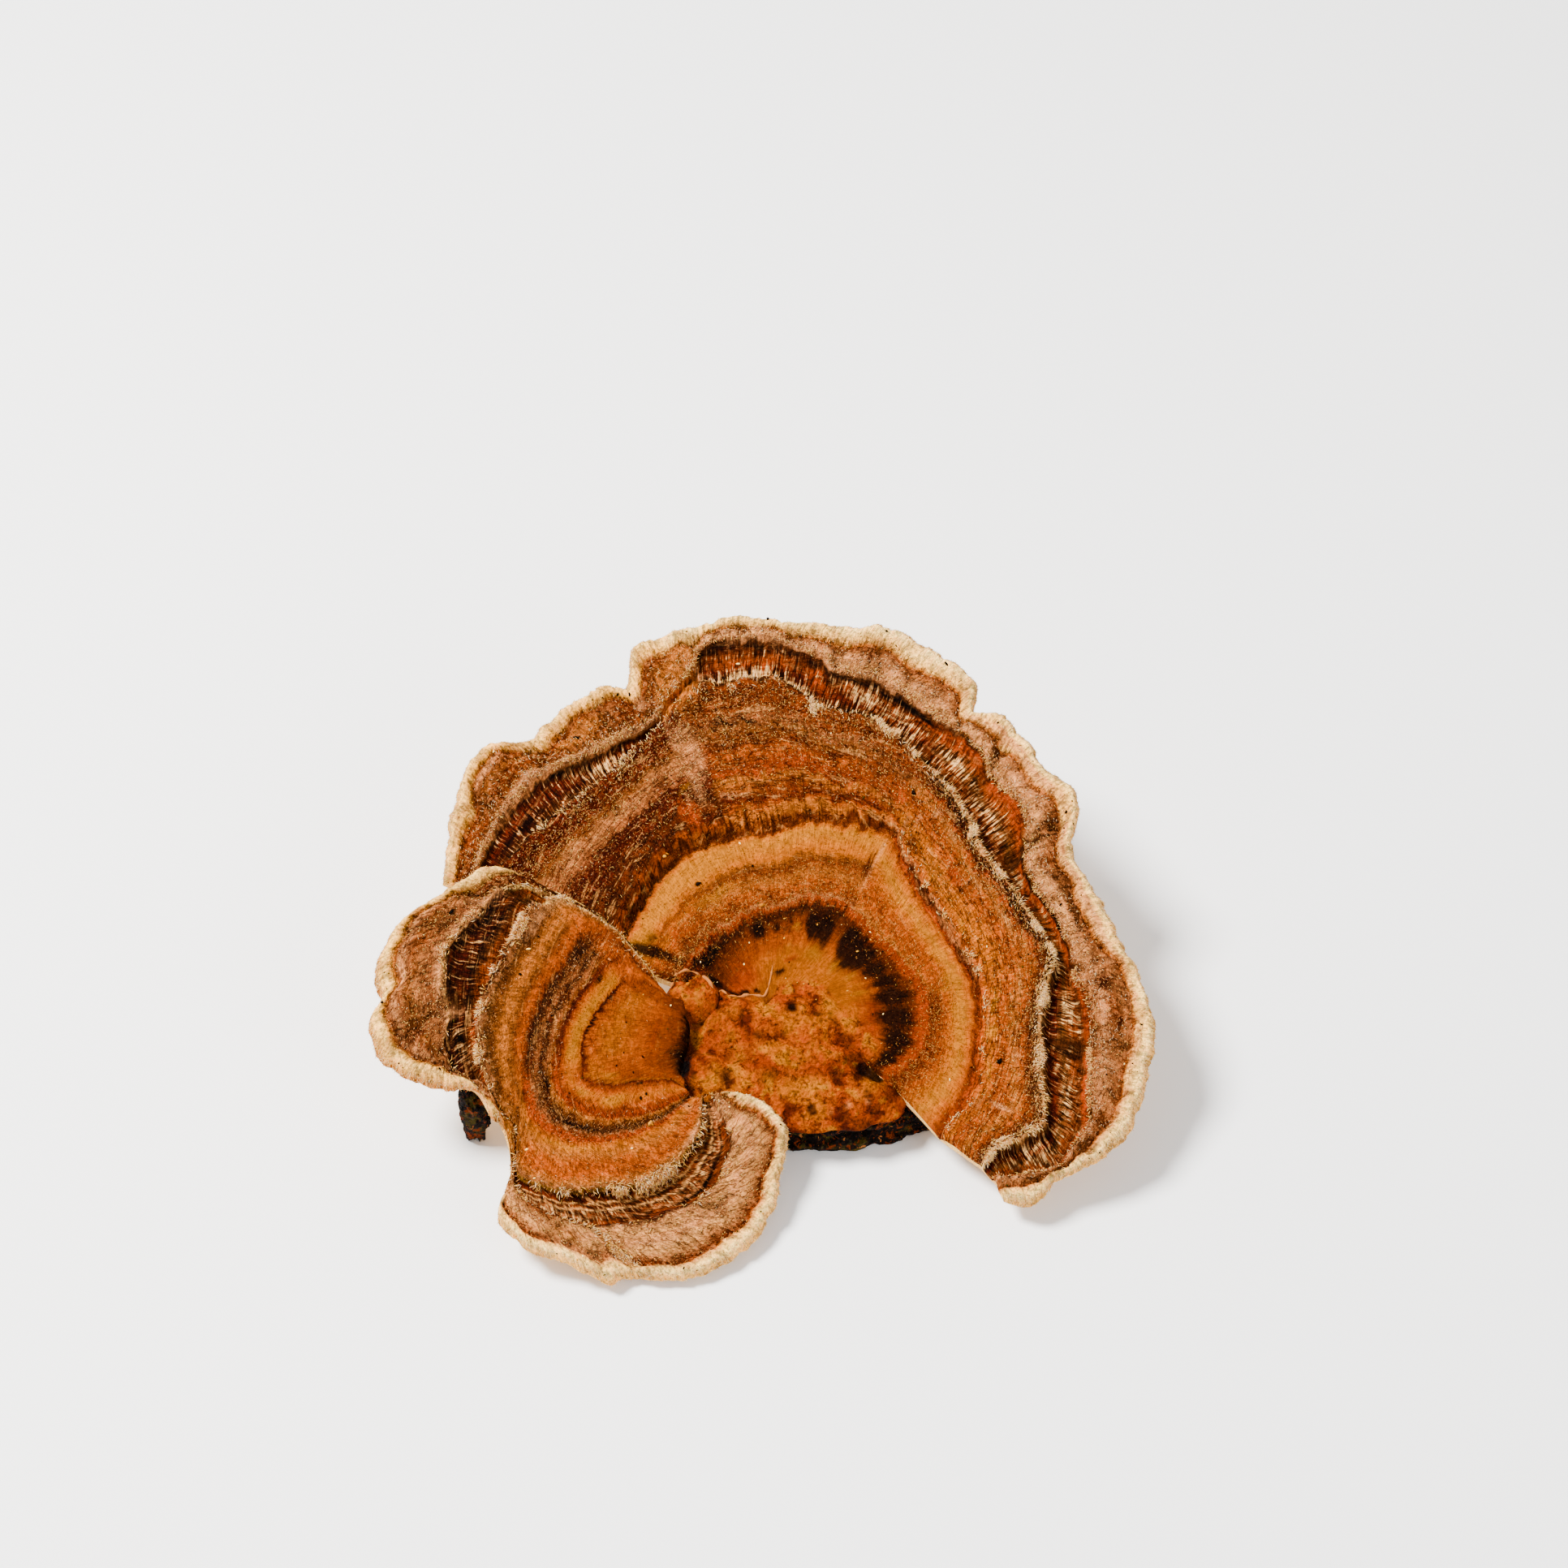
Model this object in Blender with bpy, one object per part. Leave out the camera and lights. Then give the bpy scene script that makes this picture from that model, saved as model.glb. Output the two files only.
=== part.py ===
"""A picked turkey tail fungus: a large banded fan grown from a lumpy hub, a second fan that forks off at the
left, the chip of bark that the hub grows on and a crumb of bark under the second fan's broken edge.

Each fan is a tissue sheet. Its growth lines, from the root out to the margin, are drawn in plan; a height
formula lifts them, and a relief runs along the growth, with its ledge, woolly crest, groove, swollen zone and
rolled rim.
+Z is up, the bark's flat underside rests at Z = 0, and the lengths below are millimetres."""

import math

import bmesh
import bpy
import numpy as np

MM = 0.001

# Driving dimensions
GROWTH_CENTRE_HEIGHT = 12.2  # of the large fan, above the surface it rests on
BARK_HEIGHT = 5.8
TISSUE_AT_ROOT = 3.2  # the fans' thickness
TISSUE_AT_RIM = 1.7
EDGE_ROUND = 0.9  # radius of the rolled margin and of the free edges
JOIN_GAP = 0.3  # kept between neighbours
ROOT_ROUND = 0.4  # growth over which a fan's root closes

# The faceting: columns run across the growth, rows along it, and growth counts the growth lines
COLUMNS_MAIN = 96
COLUMNS_SIDE = 84
ROWS_MAIN = (0, 0.5, 1, 1.5, 1.9, 2, 2.08, 2.5, 2.88, 3, 3.25, 3.8, 4.08, 4.5, 5, 5.4, 5.8, 6)
ROWS_SIDE = (0, 0.5, 1, 2, 3, 3.6, 3.95, 4.18, 4.8, 5.12, 5.6, 6, 6.4, 6.8, 7)
ROWS_UNDERSIDE = (0.88, 0.62, 0.34)  # shares of the growth, margin = 1
CURVE_STEPS = 12  # between two given points of a line

# The large fan, seen from above: (bearing in degrees, reach) from the growth centre
MAIN_ROOT = [(-60, 4), (0, 4.5), (60, 4.5), (120, 4.5), (200, 4)]
MAIN_RED_LINE = [
    (-38, 15), (-24, 17), (-12, 17.3), (1, 17), (11, 15.9), (24, 14.3), (39, 13.4), (57, 14), (66, 14.6),
    (82, 14.3), (99, 13.6), (114, 13.9), (129, 14.1), (143, 15), (162, 15.8),
]
MAIN_LEDGE = [
    (-42, 25.2), (-28, 25.6), (-10, 24.6), (0, 24), (10, 23), (20, 21.9), (36, 21.5), (51, 23.1),
    (61, 25.4), (77, 24.7), (87, 24.4), (99, 23.2), (116, 24.5), (132, 25.6), (144, 25.6), (161.5, 26),
]
MAIN_CREST = [
    (-41, 32.2), (-36, 33.3), (-29, 36.5), (-25, 35.4), (-14, 32.8), (-4, 32.1), (3, 34), (7, 33.8),
    (13, 32.4), (20, 31.6), (33, 30.2), (42, 31.1), (52, 32.6), (61, 33.8), (74, 36), (84, 36.2),
    (95, 39.5), (105, 39.9), (110, 40.6), (124, 38.2), (136, 38.1), (145, 39.6), (156, 42.3), (163, 44),
]
MAIN_GROOVE = [
    (-41.5, 34.5), (-34, 40.4), (-29, 41.2), (-24, 41.8), (-18, 40.2), (-6, 38.8), (1, 36.9), (7, 36.2),
    (14, 35.6), (25, 33.8), (35, 37.1), (45, 37.9), (53, 39.7), (67, 40.7), (75, 42), (82, 41.2),
    (88, 43.4), (97, 45.2), (106, 46), (111, 43), (122, 40.4), (134, 42.5), (142, 45.3), (150, 46.5),
    (163, 47),
]
MAIN_MARGIN = [
    (-43.2, 37), (-41, 40), (-38.4, 41.1), (-35, 41.4), (-31, 43.2), (-27.5, 45.6), (-21.4, 47.2),
    (-7.7, 47.7), (1.8, 45.2), (5.2, 43.6), (12.6, 42.4), (19.1, 41.6), (24.7, 40.6), (29.6, 43.4),
    (34, 44.6), (39.3, 43.7), (46.8, 44.7), (53, 45.5), (56.5, 43.6), (58.5, 46.6), (67, 48), (76, 48.8),
    (81, 47.7), (94.6, 47.8), (101, 49), (110.5, 49.5), (117.5, 49.4), (120.5, 46.6), (124, 48),
    (130, 49.3), (136, 50), (138, 50.2), (143, 53.6), (148.6, 53.8), (156, 52.2), (163, 50.5),
]
MAIN_RIM_WIDTH = 3.0
# (bearing, reach, rise above the growth centre) that set how the large fan dishes upwards
MAIN_RISE = [
    (-44, 37, -7.6), (-30, 46.5, -4.8), (-10, 47.6, 3), (5, 44, 8.6), (25, 42, 14), (40, 44, 17.6),
    (55, 45.5, 20.6), (75, 48, 24.6), (95, 48, 24.8), (112, 49, 23), (125, 48.5, 20.4), (145, 53, 15.6),
    (165, 50.5, 10),
]
RISE_POWER = 1.15

# The second fan, seen from above: (x, y), from the end of the bottom lobe round to the top
SIDE_ROOT = [
    (-15.2, -10.8), (-15.8, -9.4), (-15.4, -7.6), (-14.8, -5.8), (-14.6, -4), (-14.8, -2.4), (-15.4, -1),
]
SIDE_LINE_1 = [
    (-15.2, -11.5), (-17.3, -10.6), (-21.2, -11), (-24.8, -11.8), (-28.2, -11.5), (-28.8, -8.8),
    (-28.2, -5.4), (-26.2, -2.2), (-23.9, 0.2), (-21.2, 0.8), (-19, 0.2), (-17.2, -0.6),
]
SIDE_YELLOW = [
    (-14.6, -12.1), (-16.7, -13.2), (-19.7, -14.6), (-24, -15.6), (-28.2, -15.4), (-31.4, -13.6),
    (-32.2, -10.4), (-31.6, -6.6), (-30, -2.8), (-27.6, 0.6), (-25.6, 3), (-23, 3.8), (-20.6, 2),
    (-18, 0.1),
]
SIDE_DARK = [
    (-14, -12.6), (-15.9, -14.2), (-17.9, -16), (-22, -18.1), (-27, -19.4), (-31.6, -19), (-35.5, -16.6),
    (-36.6, -12.9), (-36.4, -9.5), (-35.6, -5.2), (-34, -1.4), (-31.8, 2), (-29.4, 5.6), (-26.6, 7),
    (-23.4, 5.2), (-20.8, 2.6), (-18.6, 0.7),
]
SIDE_LEDGE = [
    (-12.8, -12.7), (-13.2, -16.8), (-14.9, -20.1), (-17.8, -22.7), (-21.6, -24.9), (-26, -25.6),
    (-30.8, -26.3), (-34, -25.3), (-36.9, -23.6), (-37.2, -20.2), (-37.4, -17.6), (-39.8, -15.7),
    (-41.2, -13.2), (-42.2, -10.6), (-42.3, -6.6), (-41.2, -2.6), (-39.4, 1.2), (-37.2, 4.4),
    (-35.4, 7.4), (-32.6, 9.2), (-29.4, 8.6), (-24.6, 6.4), (-21.2, 3.3), (-19.2, 1.2),
]
SIDE_GROOVE = [
    (-11.5, -12.5), (-9.8, -16.5), (-9.5, -19.8), (-11.4, -23.8), (-13.5, -26), (-17, -27.4),
    (-20.4, -29), (-24.6, -29.8), (-29, -30.3), (-33.8, -29.2), (-37.2, -25.6), (-37.4, -21.6),
    (-37.6, -18), (-40.2, -16.1), (-41.7, -14), (-45.2, -12.8), (-46.4, -10.8), (-46.8, -9.2),
    (-45.6, -6.2), (-46.4, -2.6), (-46.5, 0.8), (-45.4, 3.2), (-42.6, 6.2), (-41, 8.6), (-38.6, 9.8),
    (-34.8, 10), (-30, 9), (-25, 6.9), (-21.3, 3.7), (-19.6, 1.5),
]
SIDE_MARGIN = [
    (-10, -11.9), (-7.6, -11.8), (-4.6, -12.6), (-2.4, -14.6), (-1.6, -17.4), (-2.1, -21.4),
    (-3.2, -25.5), (-5, -28.9), (-6.4, -31), (-9.4, -33.4), (-14.3, -35.8), (-19.5, -35.9),
    (-22.3, -35.5), (-24.3, -36.8), (-26.6, -36.3), (-30.1, -35.2), (-34.3, -33.9), (-38.4, -31.1),
    (-39.3, -28.6), (-37.8, -26.6), (-38, -23.8), (-37.9, -20.3), (-37.9, -17.8), (-40.6, -16.7),
    (-42, -14.4), (-45.4, -14.3), (-50.6, -14), (-54.7, -12.2), (-56.4, -8.8), (-56.3, -6.6),
    (-55.2, -4.6), (-56.2, -2.2), (-54.8, 1.9), (-52.2, 5.6), (-47.2, 8.9), (-44.4, 11), (-42.6, 12.3),
    (-40.4, 12.4), (-37.8, 11.6), (-34.6, 10.8), (-30.4, 9.8), (-25.6, 7.6), (-21.8, 4.6), (-20, 2.2),
]
SIDE_RIM_WIDTH = 2.4
SIDE_LEAN = (17.3, -0.105, 0.458)  # height at x = y = 0, and its change along x and y
SIDE_DISH = (-15.0, -7.0, 30.0, 3.2)  # x, y, radius, depth

# Reliefs: (growth, lift)
MAIN_RELIEF = [
    (0, 0), (0.9, 0), (1, 0.35), (1.15, 0), (1.5, 0.45), (1.86, 0.1), (1.98, -0.9), (2.07, 0.1),
    (2.4, 0.5), (2.85, 0.5), (2.98, 1.6), (3.06, 1.3), (3.22, -0.5), (3.8, -0.8), (3.93, 0.1),
    (4.08, 0.9), (4.5, 1.2), (4.92, 0.5), (5, 0.2), (5.3, 0.9), (5.7, 0.8), (6, 0),
]
# (bearing, rise beyond the ledge)
MAIN_STEP = [(-45, 0.3), (40, 0.4), (75, 1), (105, 1.8), (130, 2.4), (165, 1.8)]
STEP_FOOT, STEP_TOP, STEP_FADED = 1.98, 2.08, 5.2  # growth where that rise starts, is whole and has died away
SIDE_RELIEF = [
    (0, 0.3), (0.9, 0), (1, -0.25), (1.2, 0), (1.6, 0.25), (1.95, 0.35), (2.1, -0.1), (2.5, -0.35),
    (2.9, -0.2), (3.1, 0.2), (3.6, 0.5), (3.9, 0.9), (3.98, 1.2), (4.15, -0.7), (4.8, -0.7), (5.12, 0.7),
    (5.6, 1), (5.94, 0.4), (6, 0.1), (6.3, 0.7), (6.7, 0.6), (7, 0),
]
# Soft swells and dips: (x, y, radius, lift)
MAIN_SWELLS = [
    (2, 45, 6, 0.8), (-9, 45, 5, 0.7), (15, 42, 4, -0.9), (21, 41, 4, 0.8), (32, 31, 4, 0.9),
    (37, 24, 3.5, 0.8), (43, 3, 6, 0.7), (42, -12, 6, -0.6), (38, -22, 6, 0.6), (-30, 38, 5, 0.7),
    (-43, 31, 6, 0.8), (-38, 38, 4, -0.7), (-25, 7, 6, -2.2), (-36, 11, 6, -2), (-46, 13, 6, -1.6),
    (-9.5, 3.2, 3, -1.6), (6.2, 39.6, 2, 1.2), (11.3, 41.7, 2, 1), (30.9, 23.6, 3.5, 0.9),
    (35.5, 11.6, 3, 0.5),
]
SIDE_SWELLS = [
    (-39, -22, 6, -3.4), (-38, 7, 2.6, 2), (-42.6, 8.2, 2.4, -2), (-51, -0.5, 4, 0.9),
    (-51, -9.6, 3.4, 0.4), (-47, -13, 3, -1), (-30, -33, 5, 0.8), (-12, -31, 6, 0.8), (-5, -20, 5, 0.6),
    (-22, -35, 2, -0.9),
]
# Folds where the tissue steps up to the right of a run:
# (x0, y0, x1, y1, width, lift at the start, lift at the end, fade)
MAIN_FOLDS = [
    (-11, 26, -23.5, 43.5, 1.1, 0.4, 2.2, 22), (22, 27, 26, 39, 1.2, 0, -1.3, 12),
    (30, 15, 38, 17, 1.2, 0, -1.2, 12), (8, 12.5, 12.5, 22.3, 0.8, 0.4, 0.6, 6),
]
SIDE_FOLDS = [(-45.5, -8.4, -56.3, -4.6, 0.9, 1.1, 0.7, 9), (-42.5, 3.5, -47.5, 9, 1, 0.8, 0.8, 6)]
FOLD_OVERRUN = 4.0  # how far a fold keeps its height past its end
FOLD_TAPER = 3.0
FOLD_SHARPNESS = 0.25  # of a fold's width

# The hub, seen from above: (bearing, reach) about its own middle
HUB_MIDDLE = (-1.0, -5.0)
HUB_OUTLINE = [
    (-180, 16.6), (-165, 15.6), (-150, 14.6), (-130, 12.6), (-110, 11.4), (-90, 11), (-65, 12),
    (-45, 14.6), (-30, 17), (-10, 16), (15, 14), (45, 11), (75, 10), (100, 8), (115, 7.8), (132, 11),
    (144, 16), (151, 18.4), (158, 18), (166, 16.9),
]
HUB_LEAN = (10.8, 0.02, 0.27)  # height over the middle, and its change along x and y
HUB_DOME = 1.4
HUB_WAIST = 0.35  # share of the height where the hub is widest
HUB_KNOBS = [  # (x, y, radius, lift)
    (-12.2, -8.6, 2.6, 1.8), (-9.4, -6, 1.8, -1.5), (-14, 2.6, 2.6, 1), (-8, 0.4, 2.2, 0.9),
    (-10, -2.4, 2.4, 0.6), (-3.4, -3, 2, 0.5), (0.6, 1.4, 2.4, 0.8), (2.6, -4.2, 2.2, 0.6),
    (-4, -8, 2.4, 0.7), (3, -8.6, 2, 0.8), (7.6, -10.4, 2.4, -1), (-3, -12.4, 3, 0.6), (6, -13, 3, 0.5),
    (-6.4, 3.6, 1.8, -1.4), (11, -5, 2.6, -0.8),
]
HUB_SEGMENTS = 30
HUB_RINGS = 12

# The bark, seen from above
BARK_OUTLINE = [
    (-17.5, -7), (-14.6, -8.6), (-15.5, -11.6), (-8, -13.4), (-2, -14.3), (4, -14.7), (10, -14),
    (15.6, -11.6), (19, -10.2), (17, -6.4), (20.2, -3.6), (17.6, 0.6), (18.8, 5), (13, 8.6), (6, 11.4),
    (-1, 12.4), (-7, 11), (-10, 8.4), (-14.4, 7.2), (-14.2, 3.6), (-17.4, 0.6), (-15.6, -2.8),
]
BARK_LEVELS = [(0.0, 0.0), (0.3, 0.35), (0.62, -0.25), (1.0, -0.2)]  # (share of the height, outward shift)
BARK_CORNERS = 48
BARK_FIBRE = 2.6  # corners to each groove along its sides
BARK_FIBRE_DEPTH = 0.3
BARK_FIBRE_TWIST = 4.0  # radians over the height
CRUMB_PLACE = (-43.4, -12.4, 6.3)
CRUMB_RADII = (2.0, 1.7, 6.4)
CRUMB_LUMPS = 0.12  # share of the radii
CRUMB_LUMP_TURN = 2.4  # radians from one corner to the next


def smooth_path(points, count):
    """count points at equal steps along the smooth curve through the given ones."""
    points = np.array(points, float)
    padded = np.vstack([2 * points[0] - points[1], points, 2 * points[-1] - points[-2]])
    t = np.linspace(0, 1, CURVE_STEPS, endpoint=False)[:, None]
    pieces = []
    for a, b, c, d in zip(padded, padded[1:], padded[2:], padded[3:]):
        slope = (c - a) * t
        bend = (2 * a - 5 * b + 4 * c - d) * t**2
        twist = (3 * b - a - 3 * c + d) * t**3
        pieces.append(0.5 * (2 * b + slope + bend + twist))
    curve = np.vstack([*pieces, points[-1:]])
    run = np.concatenate([[0], np.cumsum(np.linalg.norm(np.diff(curve, axis=0), axis=1))])
    at = np.linspace(0, run[-1], count)
    return np.column_stack([np.interp(at, run, values) for values in curve.T])


def from_bearings(line):
    return [(reach * math.cos(math.radians(b)), reach * math.sin(math.radians(b))) for b, reach in line]


def eased(pairs, at):
    """Values between (place, value) pairs, with no corner at the pairs."""
    places, values = np.array(pairs, float).T
    i = np.clip(np.searchsorted(places, at, side="right") - 1, 0, len(places) - 2)
    t = np.clip((at - places[i]) / (places[i + 1] - places[i]), 0, 1)
    return values[i] + (values[i + 1] - values[i]) * t * t * (3 - 2 * t)


def bumps(x, y, places):
    return sum(lift * np.exp(-((x - px) ** 2 + (y - py) ** 2) / radius**2) for px, py, radius, lift in places)


def folds(x, y, runs):
    total = np.zeros_like(x)
    for x0, y0, x1, y1, width, start, end, fade in runs:
        length = math.hypot(x1 - x0, y1 - y0)
        along = ((x - x0) * (x1 - x0) + (y - y0) * (y1 - y0)) / length
        right = ((x - x0) * (y1 - y0) - (y - y0) * (x1 - x0)) / length
        share = np.clip(along / length, 0, 1)
        beyond = np.maximum(np.maximum(-along, along - length - FOLD_OVERRUN), 0)
        side = 1 / (1 + np.exp(-np.clip(right / (FOLD_SHARPNESS * width), -30, 30)))
        waning = np.exp(-np.maximum(right, 0) / fade - (beyond / FOLD_TAPER) ** 2)
        total += (start + (end - start) * share) * side * waning
    return total


def bearing_of(x, y):
    """In degrees, from -120 round to 240, so that the large fan has no jump."""
    bearing = np.degrees(np.arctan2(y, x))
    return np.where(bearing < -120, bearing + 360, bearing)


def main_height(x, y):
    bearing = bearing_of(x, y)
    bearings, reaches, rises = np.array(MAIN_RISE, float).T
    share = np.hypot(x, y) / np.interp(bearing, bearings, reaches)
    rise = np.interp(bearing, bearings, rises) * share**RISE_POWER
    return GROWTH_CENTRE_HEIGHT + rise + bumps(x, y, MAIN_SWELLS) + folds(x, y, MAIN_FOLDS)


def main_step(x, y, growth):
    """The rise beyond the ledge, which dies away towards the rim."""
    start = np.clip((growth - STEP_FOOT) / (STEP_TOP - STEP_FOOT), 0, 1)
    end = np.clip((STEP_FADED - growth) / (STEP_FADED - STEP_TOP), 0, 1)
    return eased(MAIN_STEP, bearing_of(x, y)) * start * end


def side_height(x, y):
    level, along_x, along_y = SIDE_LEAN
    px, py, radius, depth = SIDE_DISH
    dish = depth * np.maximum(0, 1 - ((x - px) ** 2 + (y - py) ** 2) / radius**2)
    return level + along_x * x + along_y * y - dish + bumps(x, y, SIDE_SWELLS) + folds(x, y, SIDE_FOLDS)


def with_rim(lines, width):
    """The lines with one more, the given width inside the margin."""
    margin, groove = lines[-1], lines[-2]
    span = np.linalg.norm(margin - groove, axis=1)
    share = np.clip(width / np.maximum(span, 0.01), 0, 0.6)[:, None]
    return [*lines[:-1], margin + (groove - margin) * share, margin]


def fan_sheet(lines, rows, height, relief, step):
    """The fan's outer and lower faces as rows of points, from the root over the margin and back below."""
    last = len(lines) - 1
    stack = np.array(lines)
    run = np.concatenate([[0], np.cumsum(np.linalg.norm(np.diff(lines[-1], axis=0), axis=1))])
    to_end = np.minimum(run, run[-1] - run)
    end_round = np.sqrt(1 - (1 - np.clip(to_end / EDGE_ROUND, 0, 1)) ** 2)

    def row(growth, top):
        k = min(int(growth), last - 1)
        place = stack[k] + (stack[k + 1] - stack[k]) * (growth - k)
        x, y = place.T
        to_margin = np.linalg.norm(lines[-1] - place, axis=1)
        rim_round = np.sqrt(1 - (1 - np.clip(to_margin / EDGE_ROUND, 0, 1)) ** 2)
        root_round = min(1, growth / ROOT_ROUND)
        body = rim_round * end_round * root_round
        level = height(x, y)
        thick = TISSUE_AT_ROOT + (TISSUE_AT_RIM - TISSUE_AT_ROOT) * growth / last
        lift = eased(relief, np.full(len(x), growth)) + (step(x, y, growth) if step else 0)
        upper, lower = level + lift, level - thick
        middle = (upper + lower) / 2
        return np.column_stack([x, y, middle + ((upper if top else lower) - middle) * body])

    over = [row(growth, True) for growth in rows]
    below = [row(share * last, False) for share in ROWS_UNDERSIDE]
    return np.array([*over, *below, row(0, False)])


def new_object(name, collection, mesh, material):
    obj = bpy.data.objects.new(name, mesh)
    mesh.materials.append(material)
    collection.objects.link(obj)
    return obj


def fan_object(name, collection, points, material):
    """A grid folded over the margin, its root edge merged and its free edges closed."""
    rows, columns = points.shape[:2]
    bm = bmesh.new()
    bmesh.ops.create_grid(bm, x_segments=columns - 1, y_segments=rows - 1, size=1)
    places = points.reshape(-1, 3) * MM
    for vertex, place in zip(bm.verts, places):
        vertex.co = place
    bmesh.ops.remove_doubles(bm, verts=bm.verts, dist=0.00001)
    open_edges = [edge for edge in bm.edges if edge.is_boundary]
    bmesh.ops.holes_fill(bm, edges=open_edges, sides=0)
    bmesh.ops.triangulate(bm, faces=bm.faces)
    bmesh.ops.recalc_face_normals(bm, faces=bm.faces)
    if bm.calc_volume(signed=True) < 0:
        bmesh.ops.reverse_faces(bm, faces=bm.faces)
    mesh = bpy.data.meshes.new(name)
    bm.to_mesh(mesh)
    bm.free()
    mesh.shade_smooth()
    return new_object(name, collection, mesh, material)


def hub_object(name, collection, material, grow=0.0):
    """The hub as a rounded, knobbly mound with a flat foot; grow makes it larger all round."""
    middle_x, middle_y = HUB_MIDDLE
    level, along_x, along_y = HUB_LEAN
    bm = bmesh.new()
    bmesh.ops.create_uvsphere(bm, u_segments=HUB_SEGMENTS, v_segments=HUB_RINGS, radius=1)
    outline = [*HUB_OUTLINE, (180, HUB_OUTLINE[0][1])]
    foot = BARK_HEIGHT + JOIN_GAP - grow
    for vertex in bm.verts:
        ring = math.hypot(vertex.co.x, vertex.co.y)
        bearing = math.atan2(vertex.co.y, vertex.co.x)
        reach = (float(eased(outline, np.array(math.degrees(bearing)))) + grow) * ring
        x = middle_x + reach * math.cos(bearing)
        y = middle_y + reach * math.sin(bearing)
        top = level + along_x * (x - middle_x) + along_y * (y - middle_y) + HUB_DOME * (1 - ring**2)
        top += float(bumps(x, y, HUB_KNOBS)) + grow
        waist = foot + HUB_WAIST * (top - foot)
        body = math.sqrt(max(0.0, 1 - ring**4))
        z = waist + (top - waist) * body if vertex.co.z > 0 else waist - (waist - foot) * min(1, 2 * body)
        vertex.co = (x * MM, y * MM, z * MM)
    bmesh.ops.triangulate(bm, faces=bm.faces)
    mesh = bpy.data.meshes.new(name)
    bm.to_mesh(mesh)
    bm.free()
    mesh.shade_smooth()
    return new_object(name, collection, mesh, material)


def bark_object(name, collection, material):
    """A chip with a flat underside, grooved along its sides like split wood."""
    outline = smooth_path([*BARK_OUTLINE, BARK_OUTLINE[0]], BARK_CORNERS + 1)[:-1]
    bm = bmesh.new()
    rings = []
    for share, shift in BARK_LEVELS:
        depth = BARK_FIBRE_DEPTH if 0 < share < 1 else 0
        ring = []
        for i, (x, y) in enumerate(outline):
            groove = depth * math.sin(2 * math.pi * i / BARK_FIBRE + BARK_FIBRE_TWIST * share)
            scale = 1 + (shift + groove) / math.hypot(x, y)
            ring.append(bm.verts.new((x * scale * MM, y * scale * MM, share * BARK_HEIGHT * MM)))
        rings.append(ring)
    for low, high in zip(rings, rings[1:]):
        for i in range(len(low)):
            j = (i + 1) % len(low)
            bm.faces.new((low[i], low[j], high[j], high[i]))
    bm.faces.new(rings[0][::-1])
    bm.faces.new(rings[-1])
    bmesh.ops.triangulate(bm, faces=bm.faces)
    mesh = bpy.data.meshes.new(name)
    bm.to_mesh(mesh)
    bm.free()
    return new_object(name, collection, mesh, material)


def crumb_object(name, collection, material):
    bm = bmesh.new()
    bmesh.ops.create_icosphere(bm, subdivisions=2, radius=1)
    for i, vertex in enumerate(bm.verts):
        lump = 1 + CRUMB_LUMPS * math.sin(CRUMB_LUMP_TURN * i)
        place = [p + c * r * lump for p, c, r in zip(CRUMB_PLACE, vertex.co, CRUMB_RADII)]
        vertex.co = [value * MM for value in (place[0], place[1], max(0.0, place[2]))]
    bmesh.ops.remove_doubles(bm, verts=bm.verts, dist=0.00001)
    mesh = bpy.data.meshes.new(name)
    bm.to_mesh(mesh)
    bm.free()
    return new_object(name, collection, mesh, material)


def boolean(obj, other, operation, solver):
    modifier = obj.modifiers.new(operation.title(), "BOOLEAN")
    modifier.operation = operation
    modifier.solver = solver
    modifier.object = other


def material(name, colour, roughness):
    made = bpy.data.materials.new(name)
    made.use_nodes = True
    shader = made.node_tree.nodes["Principled BSDF"]
    shader.inputs["Base Color"].default_value = (*colour, 1)
    shader.inputs["Roughness"].default_value = roughness
    shader.inputs["Metallic"].default_value = 0
    return made


def collection(name):
    made = bpy.data.collections.new(name)
    bpy.context.scene.collection.children.link(made)
    return made


def main():
    for obj in list(bpy.data.objects):
        bpy.data.objects.remove(obj)
    parts = collection("turkey_tail_fungus")
    helpers = collection("helpers")
    tissue = material("banded_tissue", (0.42, 0.15, 0.05), 0.75)
    wood = material("mossy_bark", (0.05, 0.04, 0.03), 0.85)

    main_lines = [
        smooth_path(from_bearings(line), COLUMNS_MAIN)
        for line in (MAIN_ROOT, MAIN_RED_LINE, MAIN_LEDGE, MAIN_CREST, MAIN_GROOVE, MAIN_MARGIN)
    ]
    main_lines = with_rim(main_lines, MAIN_RIM_WIDTH)
    points = fan_sheet(main_lines, ROWS_MAIN, main_height, MAIN_RELIEF, main_step)
    main_cap = fan_object("main_cap", parts, points, tissue)

    side_lines = [
        smooth_path(line, COLUMNS_SIDE)
        for line in (SIDE_ROOT, SIDE_LINE_1, SIDE_YELLOW, SIDE_DARK, SIDE_LEDGE, SIDE_GROOVE, SIDE_MARGIN)
    ]
    side_lines = with_rim(side_lines, SIDE_RIM_WIDTH)
    points = fan_sheet(side_lines, ROWS_SIDE, side_height, SIDE_RELIEF, None)
    side_cap = fan_object("side_cap", parts, points, tissue)

    hub = hub_object("hub_mound", helpers, tissue)
    clearance = hub_object("hub_clearance", helpers, tissue, JOIN_GAP)
    for helper in (hub, clearance):
        helper.hide_render = True
        helper.display_type = "WIRE"
    boolean(main_cap, hub, "UNION", "EXACT")
    boolean(side_cap, clearance, "DIFFERENCE", "MANIFOLD")

    bark_object("bark", parts, wood)
    crumb_object("bark_crumb", parts, wood)


main()
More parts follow.
